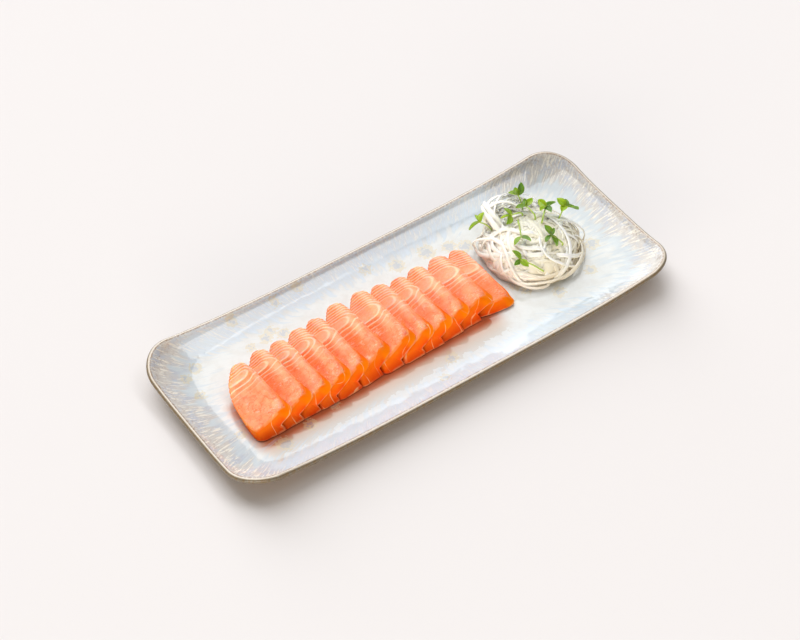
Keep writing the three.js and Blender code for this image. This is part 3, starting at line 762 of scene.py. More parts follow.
def plate_rings():
    """Rings of the plate's skin from its base round the lip to the well, and how far up the rim each is: 0 at
    the edge of the well, 1 at the lip and 2 under the foot"""
    half_x, half_y = PLATE_LENGTH / 2, PLATE_WIDTH / 2
    rim_outline = rounded_rectangle(half_x, half_y, PLATE_CORNER_RADIUS)
    cornerness = np.abs(rim_outline[:, 0] / half_x) * np.abs(rim_outline[:, 1] / half_y)
    rim_level = RIM_LEVEL + RIM_CORNER_RISE * cornerness**RIM_CORNER_POWER

    def ring(inset_x, inset_y, radius, level):
        outline = rounded_rectangle(half_x - inset_x, half_y - inset_y, radius)
        return np.column_stack([outline, np.broadcast_to(level, len(outline))])

    def rim_ring(t, drop):
        level = WELL_LEVEL + (rim_level - WELL_LEVEL) * t**RIM_CURVE - drop
        radius = lerp(PLATE_WELL_RADIUS, PLATE_CORNER_RADIUS, t)
        return ring(RIM_RUN_END * (1 - t), RIM_RUN_SIDE * (1 - t), radius, level)

    def lip_ring(inset, drop):
        return ring(inset, inset, PLATE_CORNER_RADIUS - inset, rim_level - drop)

    def foot_ring(inset, level):
        return ring(inset, inset, FOOT_CORNER_RADIUS, level)

    foot = [
        foot_ring(FOOT_INSET + FOOT_WIDTH, FOOT_RECESS),
        foot_ring(FOOT_INSET + FOOT_WIDTH, 0),
        foot_ring(FOOT_INSET, 0),
    ]
    wall = [
        foot_ring(FOOT_INSET - FOOT_SLOPE, FOOT_HEIGHT),
        *(rim_ring(t, PLATE_WALL) for t in UNDERSIDE_STEPS),
        lip_ring(LIP_ROUND * 0.55, PLATE_WALL - LIP_ROUND),
        lip_ring(0, LIP_ROUND),
        lip_ring(LIP_ROUND * 0.4, LIP_ROUND * 0.3),
        lip_ring(LIP_ROUND * 1.2, 0),
        lip_ring(LIP_ROUND * 2.2, LIP_ROUND * 0.4),
        *(rim_ring(t, 0) for t in RIM_STEPS),
    ]
    lip_share = (1.08, 1.04, 1.02, 1.0, 0.92)
    wall_share = [1.9, *(2 - t for t in UNDERSIDE_STEPS), *lip_share, *RIM_STEPS]
    spans = [np.linalg.norm(b - a, axis=1).mean() for a, b in zip(wall, wall[1:])]
    steps = [max(2, round(span / RING_SPACING)) for span in spans]
    wall_rings = smooth_path(wall, steps)
    wall_knots = np.concatenate([[0], np.cumsum(steps)])
    shares = np.interp(np.arange(len(wall_rings)), wall_knots, wall_share)
    rings = np.concatenate([foot, wall_rings])
    return rings, np.concatenate([[2, 2, 2], shares])


def toward_middle(ring, count):
    """Rings of shrinking size between a flat ring and its middle"""
    middle = np.array((0, 0, ring[0, 2]))
    return [lerp(ring, middle, step / (count + 1)) for step in range(1, count + 1)]


def make_plate(material):
    wall, wall_share = plate_rings()
    base = toward_middle(wall[0], BASE_RINGS)[::-1]
    well = toward_middle(wall[-1], WELL_RINGS)
    rings = np.concatenate([base, wall, well])
    well_share = -np.arange(1, WELL_RINGS + 1) / WELL_RINGS
    share = np.concatenate([np.full(BASE_RINGS, 2), wall_share, well_share])
    count = rings.shape[1]
    points, faces = closed_skin(rings, (0, 0, FOOT_RECESS), (0, 0, WELL_LEVEL))
    rim = np.append(np.repeat(share, count), (2, -1))
    spot = np.full(len(points), NO_SPOT)
    for x, y, radius in GLAZE_SPOTS:
        spot = np.maximum(spot, radius - np.hypot(points[:, 0] - x, points[:, 1] - y))
    spot[rim >= SPOTS_UP_TO] = NO_SPOT
    mesh = make_mesh("plate_glazed", points, faces, {"rim": rim, "spot": spot})
    add_glaze_run(mesh, rings, count)
    mesh.set_sharp_from_angle(angle=math.radians(45))
    add_piece("plate_glazed", mesh, material, "glaze", "plate")


def add_glaze_run(mesh, rings, count):
    """UV map in millimetres: round the rim, and from the base over the lip to the middle"""
    widest = rings[np.argmax(np.abs(rings[:, :, 0]).max(axis=1))]
    closed = np.concatenate([widest, widest[:1]])
    around = np.concatenate([[0], np.cumsum(np.linalg.norm(np.diff(closed, axis=0), axis=1))])
    inward = np.cumsum(np.linalg.norm(np.diff(rings, axis=0), axis=2).mean(axis=1))
    inward = np.concatenate([[0], inward])
    corners = np.zeros(len(mesh.loops), np.int32)
    mesh.loops.foreach_get("vertex_index", corners)
    starts = np.zeros(len(mesh.polygons), np.int32)
    sizes = np.zeros(len(mesh.polygons), np.int32)
    mesh.polygons.foreach_get("loop_start", starts)
    mesh.polygons.foreach_get("loop_total", sizes)
    ring, column = np.divmod(np.minimum(corners, len(rings) * count - 1), count)
    # A face across the seam has its first column's corners at the far end of the run
    last = np.maximum.reduceat(column, starts)
    column = np.where((column == 0) & (np.repeat(last, sizes) == count - 1), count, column)
    run = np.column_stack([around[column], inward[ring]])
    layer = mesh.uv_layers.new(name="glaze_run")
    layer.data.foreach_set("uv", run.astype(np.float32).ravel())


# Slices

def slice_row():
    """Sizes and places of all the slices, left to right"""
    row = []
    x = SLICE_FIRST_X
    for i, width in enumerate(SLICE_WIDTHS):
        pitch = SLICE_PITCHES[i - 1] if i else 0
        x += pitch
        row.append({
            "x": x,
            "tilt": SLICE_TILT,
            "thickness": pitch * math.sin(SLICE_TILT) - SLICE_GAP if i else FIRST_SLICE_THICKNESS,
            "back": SLICE_BACK_REACHES[i],
            "front": SLICE_FRONT_REACHES[i],
            "width": width,
            "skew": SLICE_FRONT_SKEWS[i],
            "droop": SLICE_DROOP if i == len(SLICE_WIDTHS) - 1 else 0,
            "step": SLICE_PITCHES[i] if i < len(SLICE_PITCHES) else LAST_SLICE["x"] - x,
        })
    return [*row, LAST_SLICE]


def slice_outline(sizes):
    """Closed line round a slice's top, from its back right corner by the right side, front and left side"""
    along, across = np.array(SLICE_OUTLINE).T
    reach = np.where(along > 0, sizes["back"], sizes["front"])
    shift = np.where(along < 0, -along * sizes["skew"] * (2 * across - 1), 0)
    control = np.column_stack([across * sizes["width"], along * reach + shift])
    dense = smooth_path(control, SLICE_SPAN_STEPS, closed=True)
    dense = np.concatenate([dense, dense])
    sides = []
    for i, corner in enumerate(SLICE_CORNERS):
        after = SLICE_CORNERS[(i + 1) % 4]
        start = corner * SLICE_SPAN_STEPS
        end = (after if after > corner else after + len(SLICE_OUTLINE)) * SLICE_SPAN_STEPS
        cells = SLICE_CELLS_ACROSS if i % 2 else SLICE_CELLS_ALONG
        sides.append(even_path(dense[start:end + 1], cells + 1)[:-1])
    return np.concatenate(sides)


def outline_ways_out(outline):
    """Unit vectors that point out of a closed line"""
    along = unit(np.roll(outline, -1, axis=0) - np.roll(outline, 1, axis=0))
    ways = np.column_stack([along[:, 1], -along[:, 0]])
    centred = outline - outline.mean(axis=0)
    return ways if np.sum(ways * centred) > 0 else -ways


def flared_outline(sizes):
    """Closed line round a slice's top, the ways out of it, how much wider the bottom is, and how far left the
    bottom reaches"""
    outline = slice_outline(sizes)
    ways = outline_ways_out(outline)
    run = smoothstep(-outline[:, 1] / sizes["front"], *SLICE_SIDE_FLARE_RUN)
    flare = SLICE_FLARE * np.maximum(0, -ways[:, 1]) + SLICE_SIDE_FLARE * run * np.maximum(0, -ways[:, 0])
    return outline, ways, flare, (outline + ways * flare[:, None])[:, 0].min()


def left_side_at(sizes, along):
    """How far right of its leftmost point a slice's bottom begins, less a gap, as far as a toe may reach"""
    outline, ways, flare, left_edge = flared_outline(sizes)
    spaced = outline + ways * (flare + SLICE_TOE_GAP)[:, None]
    left_side = spaced[spaced[:, 1].argmin():spaced[:, 1].argmax() + 1]
    begins = np.interp(along, left_side[:, 1], left_side[:, 0] - left_edge, left=SLICE_TOE_REACH)
    return np.minimum(begins, SLICE_TOE_REACH)


def patch_in_loop(loop):
    """Grid of points inside a loop of four sides, whose border is the loop itself"""
    along, across = SLICE_CELLS_ALONG, SLICE_CELLS_ACROSS
    closed = np.concatenate([loop, loop[:1]])
    right = closed[:along + 1]
    front = closed[along:along + across + 1]
    left = closed[along + across:2 * along + across + 1][::-1]
    back = closed[2 * along + across:][::-1]
    u = np.linspace(0, 1, along + 1)[:, None, None]
    v = np.linspace(0, 1, across + 1)[None, :, None]
    between_sides = lerp(right[:, None], left[:, None], v)
    between_ends = lerp(back[None], front[None], u)
    corners = lerp(lerp(right[0], left[0], v), lerp(right[-1], left[-1], v), u)
    return between_sides + between_ends - corners


def patch_numbers(loop_start, inside_start):
    """Point numbers of such a grid, its border in the loop's order"""
    along, across = SLICE_CELLS_ALONG, SLICE_CELLS_ACROSS
    total = 2 * (along + across)
    index = np.zeros((along + 1, across + 1), int)
    index[1:-1, 1:-1] = inside_start + np.arange((along - 1) * (across - 1)).reshape(along - 1, across - 1)
    index[:, 0] = np.arange(along + 1)
    index[-1, :] = along + np.arange(across + 1)
    index[:, -1] = (along + across + np.arange(along + 1))[::-1]
    index[0, :] = ((2 * along + across + np.arange(across + 1)) % total)[::-1]
    border = np.ones(index.shape, bool)
    border[1:-1, 1:-1] = False
    index[border] += loop_start
    return index


def right_drop(from_right):
    """How far a slice's top is rounded down at distances from its right side, most at the front and not at
    the back corner"""
    forward = np.linspace(0, 1, len(from_right))[:, None]
    front = smoothstep(forward, *SLICE_RIGHT_RUN)
    over = np.clip(1 - from_right / lerp(*SLICE_RIGHT_ROUND, front), 0, 1)
    return lerp(*SLICE_RIGHT_DROP, front) * over**2 * smoothstep(forward, *SLICE_RIGHT_START)


def fat_lines(across, along, hairpin):
    """Grain of the flesh, with a fat line at each whole number, then the lines' strength and half width in
    the grain's own measure, and the pale band inside the hairpin"""
    middle, half = hairpin
    offset = along - middle - FAT_SLOPE * (across - FAT_TURN_START)
    reach = np.hypot(FAT_TURN_RATE * np.maximum(0, across - FAT_TURN_START), offset)
    behind = smoothstep(offset, -3, 3)
    pitch = lerp(FAT_PITCH_FRONT, FAT_PITCH_BEHIND, behind)
    beyond = reach - half
    grain = beyond / pitch
    front_fade = 1 - 0.95 * smoothstep(beyond, *FAT_FRONT_FADE)
    strength = lerp(front_fade, 0.8, behind) * smoothstep(beyond, -0.8 * FAT_PITCH_BEHIND, 0)
    first = (1 - behind) * smoothstep(beyond, 2, 0.5)
    half_width = lerp(FAT_LINE_WIDTH, FAT_FIRST_LINE_WIDTH, first) / 2 / pitch
    band = smoothstep(beyond, 0.6, -0.6) * lerp(1, 0.45, smoothstep(offset, -0.6 * half, half))
    return grain, strength, half_width, band


def slice_profile(thickness):
    """Levels of a slice's side from the bottom up: height, share of the flare, inset and share of the side's
    colour"""
    turn = np.linspace(0, math.pi / 2, SLICE_ROUND_STEPS + 1)
    rise = np.linspace(0, 1, SLICE_SIDE_STEPS + 1)[1:-1]
    bottom, top = SLICE_EDGE_ROUND, thickness - SLICE_EDGE_ROUND
    low = [(SLICE_EDGE_ROUND * (1 - math.cos(a)), 1, SLICE_EDGE_ROUND * (1 - math.sin(a)), 1) for a in turn]
    middle = [(lerp(bottom, top, s), lerp(1, SLICE_TOP_FLARE, s), 0, 1) for s in rise]
    high = [
        (
            top + SLICE_EDGE_ROUND * math.sin(a),
            SLICE_TOP_FLARE * math.cos(a),
            SLICE_EDGE_ROUND * (1 - math.cos(a)),
            math.cos(a) ** 0.7 if a < math.pi / 2 else 0,
        )
        for a in turn
    ]
    return low + middle + high


class SliceSkin:
    """Skin of a slice before it is tilted: the levels of its sides from the bottom up, then the insides of
    its bottom and its top. Each point has a place across and along the slice and a height"""

    def __init__(self, sizes):
        outline, self.ways, flare, self.left_edge = flared_outline(sizes)
        thickness = sizes["thickness"]
        self.profile = slice_profile(thickness)
        wider = [flared * flare - inset for _, flared, inset, _ in self.profile]
        loops = [outline + self.ways * out[:, None] for out in wider]
        bottom, top = patch_in_loop(loops[0])[1:-1, 1:-1], patch_in_loop(loops[-1])
        self.inside = bottom[..., 0].size
        self.flat = np.concatenate([*loops, bottom.reshape(-1, 2), top[1:-1, 1:-1].reshape(-1, 2)])
        self.ways_out = np.concatenate([*[self.ways] * len(loops), np.zeros((2 * self.inside, 2))])
        self.across, self.along = self.flat[:, 0] - self.left_edge, self.flat[:, 1]
        self.forward = -self.along / sizes["front"]
        from_right = np.linalg.norm(top - top[:, :1], axis=2)
        lower_by = right_drop(from_right)
        edge_height = 1 - along_border(lower_by) / thickness
        levels = [level * edge_height for level, _, _, _ in self.profile]
        self.height = self.spread(levels, 0, thickness - lower_by[1:-1, 1:-1].ravel())
        self.depth = np.clip(1 - self.height / thickness, 0, 1)
        self.top_from_right = from_right[1:-1, 1:-1].ravel()
        self.right_levels = [smoothstep(self.ways[:, 0], *RIGHT_SIDE_WAYS)] * len(self.profile)
        self.frontness = smoothstep(self.forward, *FRONT_RUN)

    def spread(self, levels, lower, upper):
        """One value for each point, from those of the levels and those of the two insides"""
        insides = [np.broadcast_to(values, self.inside) for values in (lower, upper)]
        return np.concatenate([*levels, *insides])

    def faces(self):
        levels, count = len(self.profile), len(self.ways)
        lower = patch_numbers(0, levels * count)
        upper = patch_numbers((levels - 1) * count, levels * count + self.inside)
        return [grid_faces(index) for index in (ring_numbers(levels, count), lower, upper)]


def cut_colours(skin, width):
    """Where a slice shows the colour of its cut sides, and where its front right corner is"""
    # The front and left sides show it, the back half of it, and the right side as it goes down
    front_or_left = np.maximum(smoothstep(-skin.ways[:, 1], 0, 0.6), smoothstep(-skin.ways[:, 0], 0, 0.6))
    side = skin.spread([share * lerp(0.5, 1, front_or_left) for _, _, _, share in skin.profile], 1, 0)
    right = skin.spread(skin.right_levels, 0, 1)
    side = lerp(side, smoothstep(skin.depth, 0.14, 0.55) * lerp(0.2, 1, skin.frontness), right)
    corner = smoothstep(skin.forward, 0.7, 0.95) * side * smoothstep(skin.flat[:, 0] / width, 0.7, 0.85)
    return side, corner


def pale_strip_and_highlights(skin, number):
    """Where a slice is paler: a painted highlight along the rim where the top meets the right side, with a
    painted glint, a pale oval, on the first slice and a pale strip on the others"""
    rim = skin.spread(skin.right_levels, 0, smoothstep(skin.top_from_right, *RIGHT_RIM_HIGHLIGHT_REACH))
    rim = RIGHT_RIM_HIGHLIGHT_SHARE * rim * smoothstep(skin.depth, 0.3, 0.1) * (1 - 0.7 * skin.frontness)
    if number == 1:
        across, along, radius = GLINT_OVAL
        from_glint = np.hypot(skin.across - across, skin.along - along)
        return np.maximum(rim, GLINT_OVAL_SHARE * smoothstep(from_glint, radius + 0.6, radius - 0.6))
    strip = smoothstep(skin.across, *PALE_STRIP_RISE) * smoothstep(skin.across, *PALE_STRIP_FALL)
    return np.maximum(rim, PALE_STRIP_SHARE * strip * smoothstep(skin.along, *PALE_STRIP_FADE))


def flesh_tone_and_shade(skin, number):
    """How deep an orange a slice is, with painted shade beside the slice above"""
    # Painted shade beside the slice above, where it overhangs
    beside = smoothstep(skin.along, *BESIDE_SHADE_BACK) * smoothstep(skin.along, *BESIDE_SHADE_FRONT)
    deeper = BESIDE_SHADE if number > 1 else 0
    return np.minimum(1, SLICE_TONES[number - 1] + deeper * smoothstep(skin.across, *BESIDE_SHADE_ACROSS) * beside)


def settled_by(skin, sizes, beside):
    """How far the soft underside settles on the plate in front, as far as the next slice"""
    if not beside:
        return 0
    tilt = sizes["tilt"]
    beside_left = left_side_at(beside, skin.along) * math.cos(tilt - beside["tilt"])
    end = sizes["step"] * math.cos(tilt) + beside_left
    free = np.maximum(0, skin.across - SLICE_EDGE_ROUND) * math.tan(tilt)
    settle = free * smoothstep(skin.across, end, end - SLICE_TOE_FADE)
    return settle * smoothstep(skin.forward, *SLICE_SETTLE_RUN) * smoothstep(skin.depth, *SLICE_SETTLE_DEPTH)


def make_slice(number, sizes, beside, hairpin, material):
    skin = SliceSkin(sizes)
    across, along, depth = skin.across, skin.along, skin.depth
    side, corner = cut_colours(skin, sizes["width"])
    grain, strength, half_width, band = fat_lines(across, along, hairpin)

    # Muscle blocks bulge a little between the fat lines, on the top and at the edges
    groove = strength * (0.5 + 0.5 * np.cos(2 * math.pi * grain)) ** 2
    uneven = 0.5 + 0.5 * ripple(np.column_stack([across, along]), FLESH_RIPPLE, number)
    on_top = smoothstep(depth, 0.5, 0)
    flat = skin.flat - skin.ways_out * (EDGE_SCALLOP * groove * on_top)[:, None]
    height = skin.height - on_top * FLESH_RELIEF * (0.7 * groove + 0.3 * uneven)
    droop_run = sizes["width"] - SLICE_DROOP_START
    sag = sizes["droop"] * (np.maximum(0, flat[:, 0] - SLICE_DROOP_START) / droop_run) ** 2
    height = height - sag - settled_by(skin, sizes, beside)

    cos, sin = math.cos(sizes["tilt"]), math.sin(sizes["tilt"])
    from_left = flat[:, 0] - skin.left_edge
    x = sizes["x"] + from_left * cos - height * sin
    z = WELL_LEVEL + SLICE_GAP - SLICE_EDGE_ROUND * sin + from_left * sin + height * cos
    attributes = {
        "flesh": np.column_stack([across + FLESH_STEP * number, along, skin.height]),
        "grain": np.column_stack([grain, strength, half_width]),
        # Pale band inside the hairpin, with painted highlights on top
        "band": np.maximum(band, pale_strip_and_highlights(skin, number)),
        "tone": flesh_tone_and_shade(skin, number),
        "ragged": smoothstep(across, *RAGGED_ACROSS) * smoothstep(skin.forward, *RAGGED_RUN),
        "cut": np.column_stack([side, depth, corner]),
    }
    name = f"salmon_slice_{number:02d}"
    mesh = make_mesh(name, np.column_stack([x, flat[:, 1], z]), skin.faces(), attributes)
    add_piece(name, mesh, material, "salmon", f"slice_{number:02d}")


# Geometry node trees

class Tree(NodeKit):
    """A geometry node tree with named inputs, which makes a mesh from paths"""

    KINDS = {
        "Geometry": "NodeSocketGeometry",
        "Size": "NodeSocketFloat",
        "Object": "NodeSocketObject",
        "Material": "NodeSocketMaterial",
    }

    def __init__(self, name, **inputs):
        self.tree = bpy.data.node_groups.new(name, "GeometryNodeTree")
        self.sockets = {}
        for key, kind in {"Paths": "Geometry", **inputs}.items():
            socket = self.tree.interface.new_socket(key, in_out="INPUT", socket_type=self.KINDS[kind])
            self.sockets[key] = socket.identifier
        self.tree.interface.new_socket("Shape", in_out="OUTPUT", socket_type=self.KINDS["Geometry"])
        self.inputs = self.tree.nodes.new("NodeGroupInput").outputs
        self.result = self.tree.nodes.new("NodeGroupOutput").inputs[0]

    def attribute(self, name, data_type):
        return self.node("GeometryNodeInputNamedAttribute", {"Name": name}, "Attribute", data_type=data_type)

    def swept(self, line, section):
        """A section carried along lines, as broad as each point says"""
        inputs = {"Curve": line, "Profile Curve": section, "Scale": self.attribute("breadth", "FLOAT")}
        return self.node("GeometryNodeCurveToMesh", {**inputs, "Fill Caps": True})

    def join(self, *shapes):
        node = self.tree.nodes.new("GeometryNodeJoinGeometry")
        for shape in shapes:
            self.tree.links.new(shape, node.inputs[0])
        return node.outputs[0]

    def finish(self, shape):
        """Ends the tree with real geometry that has its material"""
        smooth = self.node("GeometryNodeSetShadeSmooth", {"Geometry": shape})
        real = self.node("GeometryNodeRealizeInstances", {"Geometry": smooth})
        paint = {"Geometry": real, "Material": self.inputs["Material"]}
        self.set(self.result, self.node("GeometryNodeSetMaterial", paint))
        return self

    def made_from(self, name, points, edges, attributes, **values):
        """Plain mesh that the tree makes from paths in millimetres, with a value or a vector at each point"""
        paths = bpy.data.meshes.new("paths")
        paths.from_pydata((points * MM).tolist(), edges, [])
        for key, at_points in attributes.items():
            add_attribute(paths, key, at_points)
        carrier = bpy.data.objects.new("paths", paths)
        bpy.context.scene.collection.objects.link(carrier)
        modifier = carrier.modifiers.new(self.tree.name, "NODES")
        modifier.node_group = self.tree
        for key, value in values.items():
            modifier[self.sockets[key]] = value
        evaluated = carrier.evaluated_get(bpy.context.evaluated_depsgraph_get())
        mesh = bpy.data.meshes.new_from_object(evaluated)
        carrier.modifiers.remove(modifier)
        bpy.data.objects.remove(carrier)
        turn_outwards(mesh)
        mesh.name = name
        return mesh


def shred_tree():
    """Flat strips with rounded edges along paths, turned to each point's facing"""
    tree = Tree("radish_shredder", Width="Size", Depth="Size", Rounding="Size", Material="Material")
    line = tree.node("GeometryNodeMeshToCurve", {0: tree.inputs["Paths"]})
    facing = tree.attribute("facing", "FLOAT_VECTOR")
    turned = tree.node("GeometryNodeSetCurveNormal", {"Curve": line, "Normal": facing}, mode="FREE")
    size = {"Width": tree.inputs["Depth"], "Height": tree.inputs["Width"]}
    strip = tree.node("GeometryNodeCurvePrimitiveQuadrilateral", size)
    rounding = {"Curve": strip, "Count": 1, "Radius": tree.inputs["Rounding"], "Limit Radius": True}
    section = tree.node("GeometryNodeFilletCurve", rounding, mode="POLY")
    return tree.finish(tree.swept(turned, section))


def sprig_tree():
    """A round stem along its path, and a leaf at each point that is marked for one"""
    tree = Tree("cress_grower", Radius="Size", Leaf="Object", Material="Material")
    paths = tree.inputs["Paths"]
    line = tree.node("GeometryNodeMeshToCurve", {0: paths})
    circle = {"Resolution": STEM_SIDES, "Radius": tree.inputs["Radius"]}
    stem = tree.swept(line, tree.node("GeometryNodeCurvePrimitiveCircle", circle))
    marked = {"Mesh": paths, "Selection": tree.attribute("is_leaf", "BOOLEAN")}
    points = tree.node("GeometryNodeMeshToPoints", marked)
    wanted = {"Object": tree.inputs["Leaf"], "As Instance": True}
    leaf = tree.node("GeometryNodeObjectInfo", wanted, "Geometry")
    axes = {
        "Primary Axis": tree.attribute("heading", "FLOAT_VECTOR"),
        "Secondary Axis": tree.attribute("facing", "FLOAT_VECTOR"),
    }
    turn = tree.node("FunctionNodeAxesToRotation", axes, primary_axis="X", secondary_axis="Z")
    size = tree.attribute("size", "FLOAT_VECTOR")
    placed = {"Points": points, "Instance": leaf, "Rotation": turn, "Scale": size}
    leaves = tree.node("GeometryNodeInstanceOnPoints", placed)
    return tree.finish(tree.join(stem, leaves))


# Radish heap

def dome_normal(points):
    return unit(points / np.array((CORE_RADIUS, CORE_RADIUS, CORE_HEIGHT)) ** 2)


def on_dome(directions, stand):
    """Points along directions that stand off the solid's core"""
    reach = np.column_stack([CORE_RADIUS + stand, CORE_RADIUS + stand, CORE_HEIGHT + stand])
    return directions * reach


def clear_stretch(points, keep_clear):
    """The longest stretch of a path that is clear of the plate, the last slice and the sprigs"""
    gaps = np.linalg.norm(points[:, None] - keep_clear[None], axis=2).min(axis=1)
    over_plate = points[:, 2] > SHRED_WIDTH / 2 + HEAP_GAP
    clear = over_plate & (points[:, 0] > HEAP_LEFT) & (gaps > SHRED_CLEARANCE)
    stretches, start = [], 0
    for end in range(1, len(points) + 1):
        if end == len(points) or clear[end] != clear[start]:
            if clear[start]:
                stretches.append((end - start, start, end))
            start = end
    if not stretches:
        return points[:0]
    _, start, end = max(stretches)
    return points[start:end]


def shred_points(length):
    """How many points a path of a length has"""
    return max(SHRED_FEWEST_POINTS, round(length / SHRED_STEP))


def lying_shred(random, low, high):
    """Path of a shred that bends round the heap as part of a wavering circle, with its ends tucked in"""
    axis = direction(random.uniform(0, 360), random.uniform(5, 85))
    side = unit(np.cross(axis, (0, 0, 1)))
    rise = np.cross(side, axis)
    spread = random.uniform(*LYING_SPREADS)
    sweep = random.uniform(*LYING_SWEEPS)
    t = np.linspace(-1, 1, shred_points(sweep * math.sin(spread) * CORE_RADIUS))
    angle = random.uniform(0, 2 * math.pi) + sweep * t / 2
    wavering = spread + 0.12 * np.sin(2.5 * t + random.uniform(0, 6.3))
    ring = np.outer(np.cos(angle), side) + np.outer(np.sin(angle), rise)
    directions = unit(np.cos(wavering)[:, None] * axis + np.sin(wavering)[:, None] * ring)
    stand = random.uniform(low, high) + 0.8 * np.sin(3 * t + random.uniform(0, 6.3))
    stand = lerp(stand, low - 2.5, smoothstep(np.abs(t), 0.55, 1))
    return on_dome(directions, np.minimum(stand, high))


def standing_shred(azimuth, elevation, heading, half_span, rise):
    """Path of a loop whose ends go into the heap and whose middle stands off it, as in the part's source"""
    axis = direction(azimuth, elevation)
    east = unit(np.cross((0, 0, 1), axis))
    north = np.cross(axis, east)
    way = east * math.cos(math.radians(heading)) + north * math.sin(math.radians(heading))
    half = math.radians(half_span)
    t = np.linspace(-1, 1, shred_points(2 * half * CORE_RADIUS))
    directions = np.outer(np.cos(half * t), axis) + np.outer(np.sin(half * t), way)
    return on_dome(directions, rise * (1 - t * t) - STRAND_DEPTH)


def back_loops(keep_clear):
    """Loops at the back of the heap, each clear along its whole length"""
    random = np.random.default_rng(SHRED_SEED)
    loops = []
    while len(loops) < BACK_LOOPS:
        loop = standing_shred(*(random.uniform(*span) for span in BACK_LOOP_RANGES))
        if len(clear_stretch(loop, keep_clear)) == len(loop):
            loops.append(loop)
    return loops


def foot_shred(random):
    """Path of a shred that lies along the heap's foot, with its ends tucked in"""
    t = np.linspace(-1, 1, FOOT_SHRED_POINTS)
    azimuth = random.uniform(*FOOT_SHRED_MIDDLES) + random.uniform(*FOOT_SHRED_HALF_SPANS) * t
    elevation = random.uniform(*FOOT_SHRED_ELEVATIONS) + random.uniform(*FOOT_SHRED_SLOPES) * t
    elevation += 3 * np.sin(3 * t + random.uniform(0, 6.3))
    stand = lerp(random.uniform(*FOOT_SHRED_STANDS), FOOT_SHRED_TUCK, smoothstep(np.abs(t), 0.75, 1))
    return on_dome(direction(azimuth, np.maximum(elevation, FOOT_SHRED_LOWEST)), stand)


def ribbon(places):
    """Path of a broad ribbon through places round the heap"""
    azimuth, elevation, stand = np.array(places, float).T
    path = smooth_path(on_dome(direction(azimuth, elevation), stand), RIBBON_STEPS)
    return even_path(path, shred_points(np.linalg.norm(np.diff(path, axis=0), axis=1).sum()))


def tucked_in(points):
    """The same path with both its ends drawn into the heap"""
    place = np.arange(len(points))
    from_end = np.minimum(place, place[::-1])
    inward = SHRED_TUCK * smoothstep(from_end, SHRED_TUCK_STEPS, 0)
    return points - inward[:, None] * dome_normal(points)


def shred_paths():
    """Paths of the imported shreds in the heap's skin, then of the loose ones over them"""
    random = np.random.default_rng(SHRED_SEED)
    keep_clear = np.concatenate([sprig_samples(*sprig) for sprig in SPRIGS])

    def scattered(count, low, high):
        return [lying_shred(random, low, high) for _ in range(count)]

    packed = scattered(*PACKED_SHREDS)
    packed += [foot_shred(random) for _ in range(FOOT_SHREDS)]
    loose = [standing_shred(*loop) for loop in STANDING_LOOPS] + back_loops(keep_clear)
    loose += [ribbon(places) for places in RIBBONS] + scattered(*LOOSE_SHREDS)
    cut = [[clear_stretch(points, keep_clear) for points in group] for group in (packed, loose)]
    return [[tucked_in(points) for points in group if len(points) >= SHRED_KEPT_POINTS] for group in cut]


def make_shreds(name, paths, tree, material):
    random = np.random.default_rng(SHRED_SEED + len(paths))
    edges = []
    attributes = {"facing": [], "breadth": [], "tone": []}
    start = 0
    for path in paths:
        count = len(path)
        along = unit(np.gradient(path, axis=0))
        out = dome_normal(path)
        out = unit(out - np.sum(out * along, axis=1)[:, None] * along)
        across = np.cross(along, out)
        twist = random.normal(0, 0.12) + random.normal(0, 0.25) * np.linspace(-1, 1, count)
        attributes["facing"].append(out * np.cos(twist)[:, None] + across * np.sin(twist)[:, None])
        attributes["breadth"].append(np.full(count, random.uniform(*SHRED_BREADTHS)))
        attributes["tone"].append(np.full(count, random.uniform(0, 1)))
        edges += [(i, i + 1) for i in range(start, start + count - 1)]
        start += count
    made = tree.made_from(
        name, np.concatenate(paths) + HEAP_CENTRE, edges,
        {key: np.concatenate(values) for key, values in attributes.items()},
        Width=SHRED_WIDTH * MM, Depth=SHRED_DEPTH * MM, Rounding=SHRED_ROUND * MM, Material=material,
    )
    add_piece(name, made, material, "radish", "radish_shreds")


def make_radish_core(material):
    """Packed middle of the heap, seen between the shreds"""
    elevation = np.linspace(INNER_CORE_LOWEST, 90, INNER_CORE_ROWS)[:-1, None]
    azimuth = np.arange(INNER_CORE_COLUMNS) / INNER_CORE_COLUMNS * 360
    ways = direction(azimuth, elevation)
    size = np.array((CORE_RADIUS, CORE_RADIUS, CORE_HEIGHT)) * INNER_CORE_SHARE
    lump = INNER_CORE_LUMP * ripple(ways * size, INNER_CORE_LUMP_LENGTH, SHRED_SEED)
    base = np.array((0, 0, HEAP_GAP))
    dome = ways * (size + lump[..., None]) + base
    foot = dome[0] * (1, 1, 0) + base
    points, faces = closed_skin(np.concatenate([foot[None], dome]), base, base + (0, 0, size[2]))
    tone = np.full(len(points), INNER_CORE_TONE)
    mesh = make_mesh("radish_core", points + HEAP_CENTRE, faces, {"tone": tone})
    add_piece("radish_core", mesh, material, "radish", "radish_shreds")


# Cress

def stem_path(foot, tip):
    foot, tip = np.array(foot, float), np.array(tip, float)
    inside = foot - STEM_DEPTH * dome_normal(foot)
    middle = lerp(foot, tip, 0.5) + (0, 0, STEM_ARCH)
    return smooth_path([inside, foot, middle, tip], STEM_STEPS)


def leaf_axes(heading, pitch):
    """The way along a leaf, the way across it and the way its face looks"""
    along = direction(heading, pitch)
    across = unit(np.cross(along, (0, 0, 1)))
    return along, across, np.cross(across, along)


def sprig_samples(foot, tip, leaves):
    """Points on a sprig that the shreds keep clear of"""
    samples = [stem_path(foot, tip)[STEM_STEPS:]]
    for heading, pitch, length in leaves:
        along, across, _ = leaf_axes(heading, pitch)
        for t in (0.3, 0.6, 0.9):
            for w in (-0.8, 0, 0.8):
                samples.append([np.array(tip) + length * (t * along + w * LEAF_HALF_WIDTH * across)])
    return np.concatenate(samples)


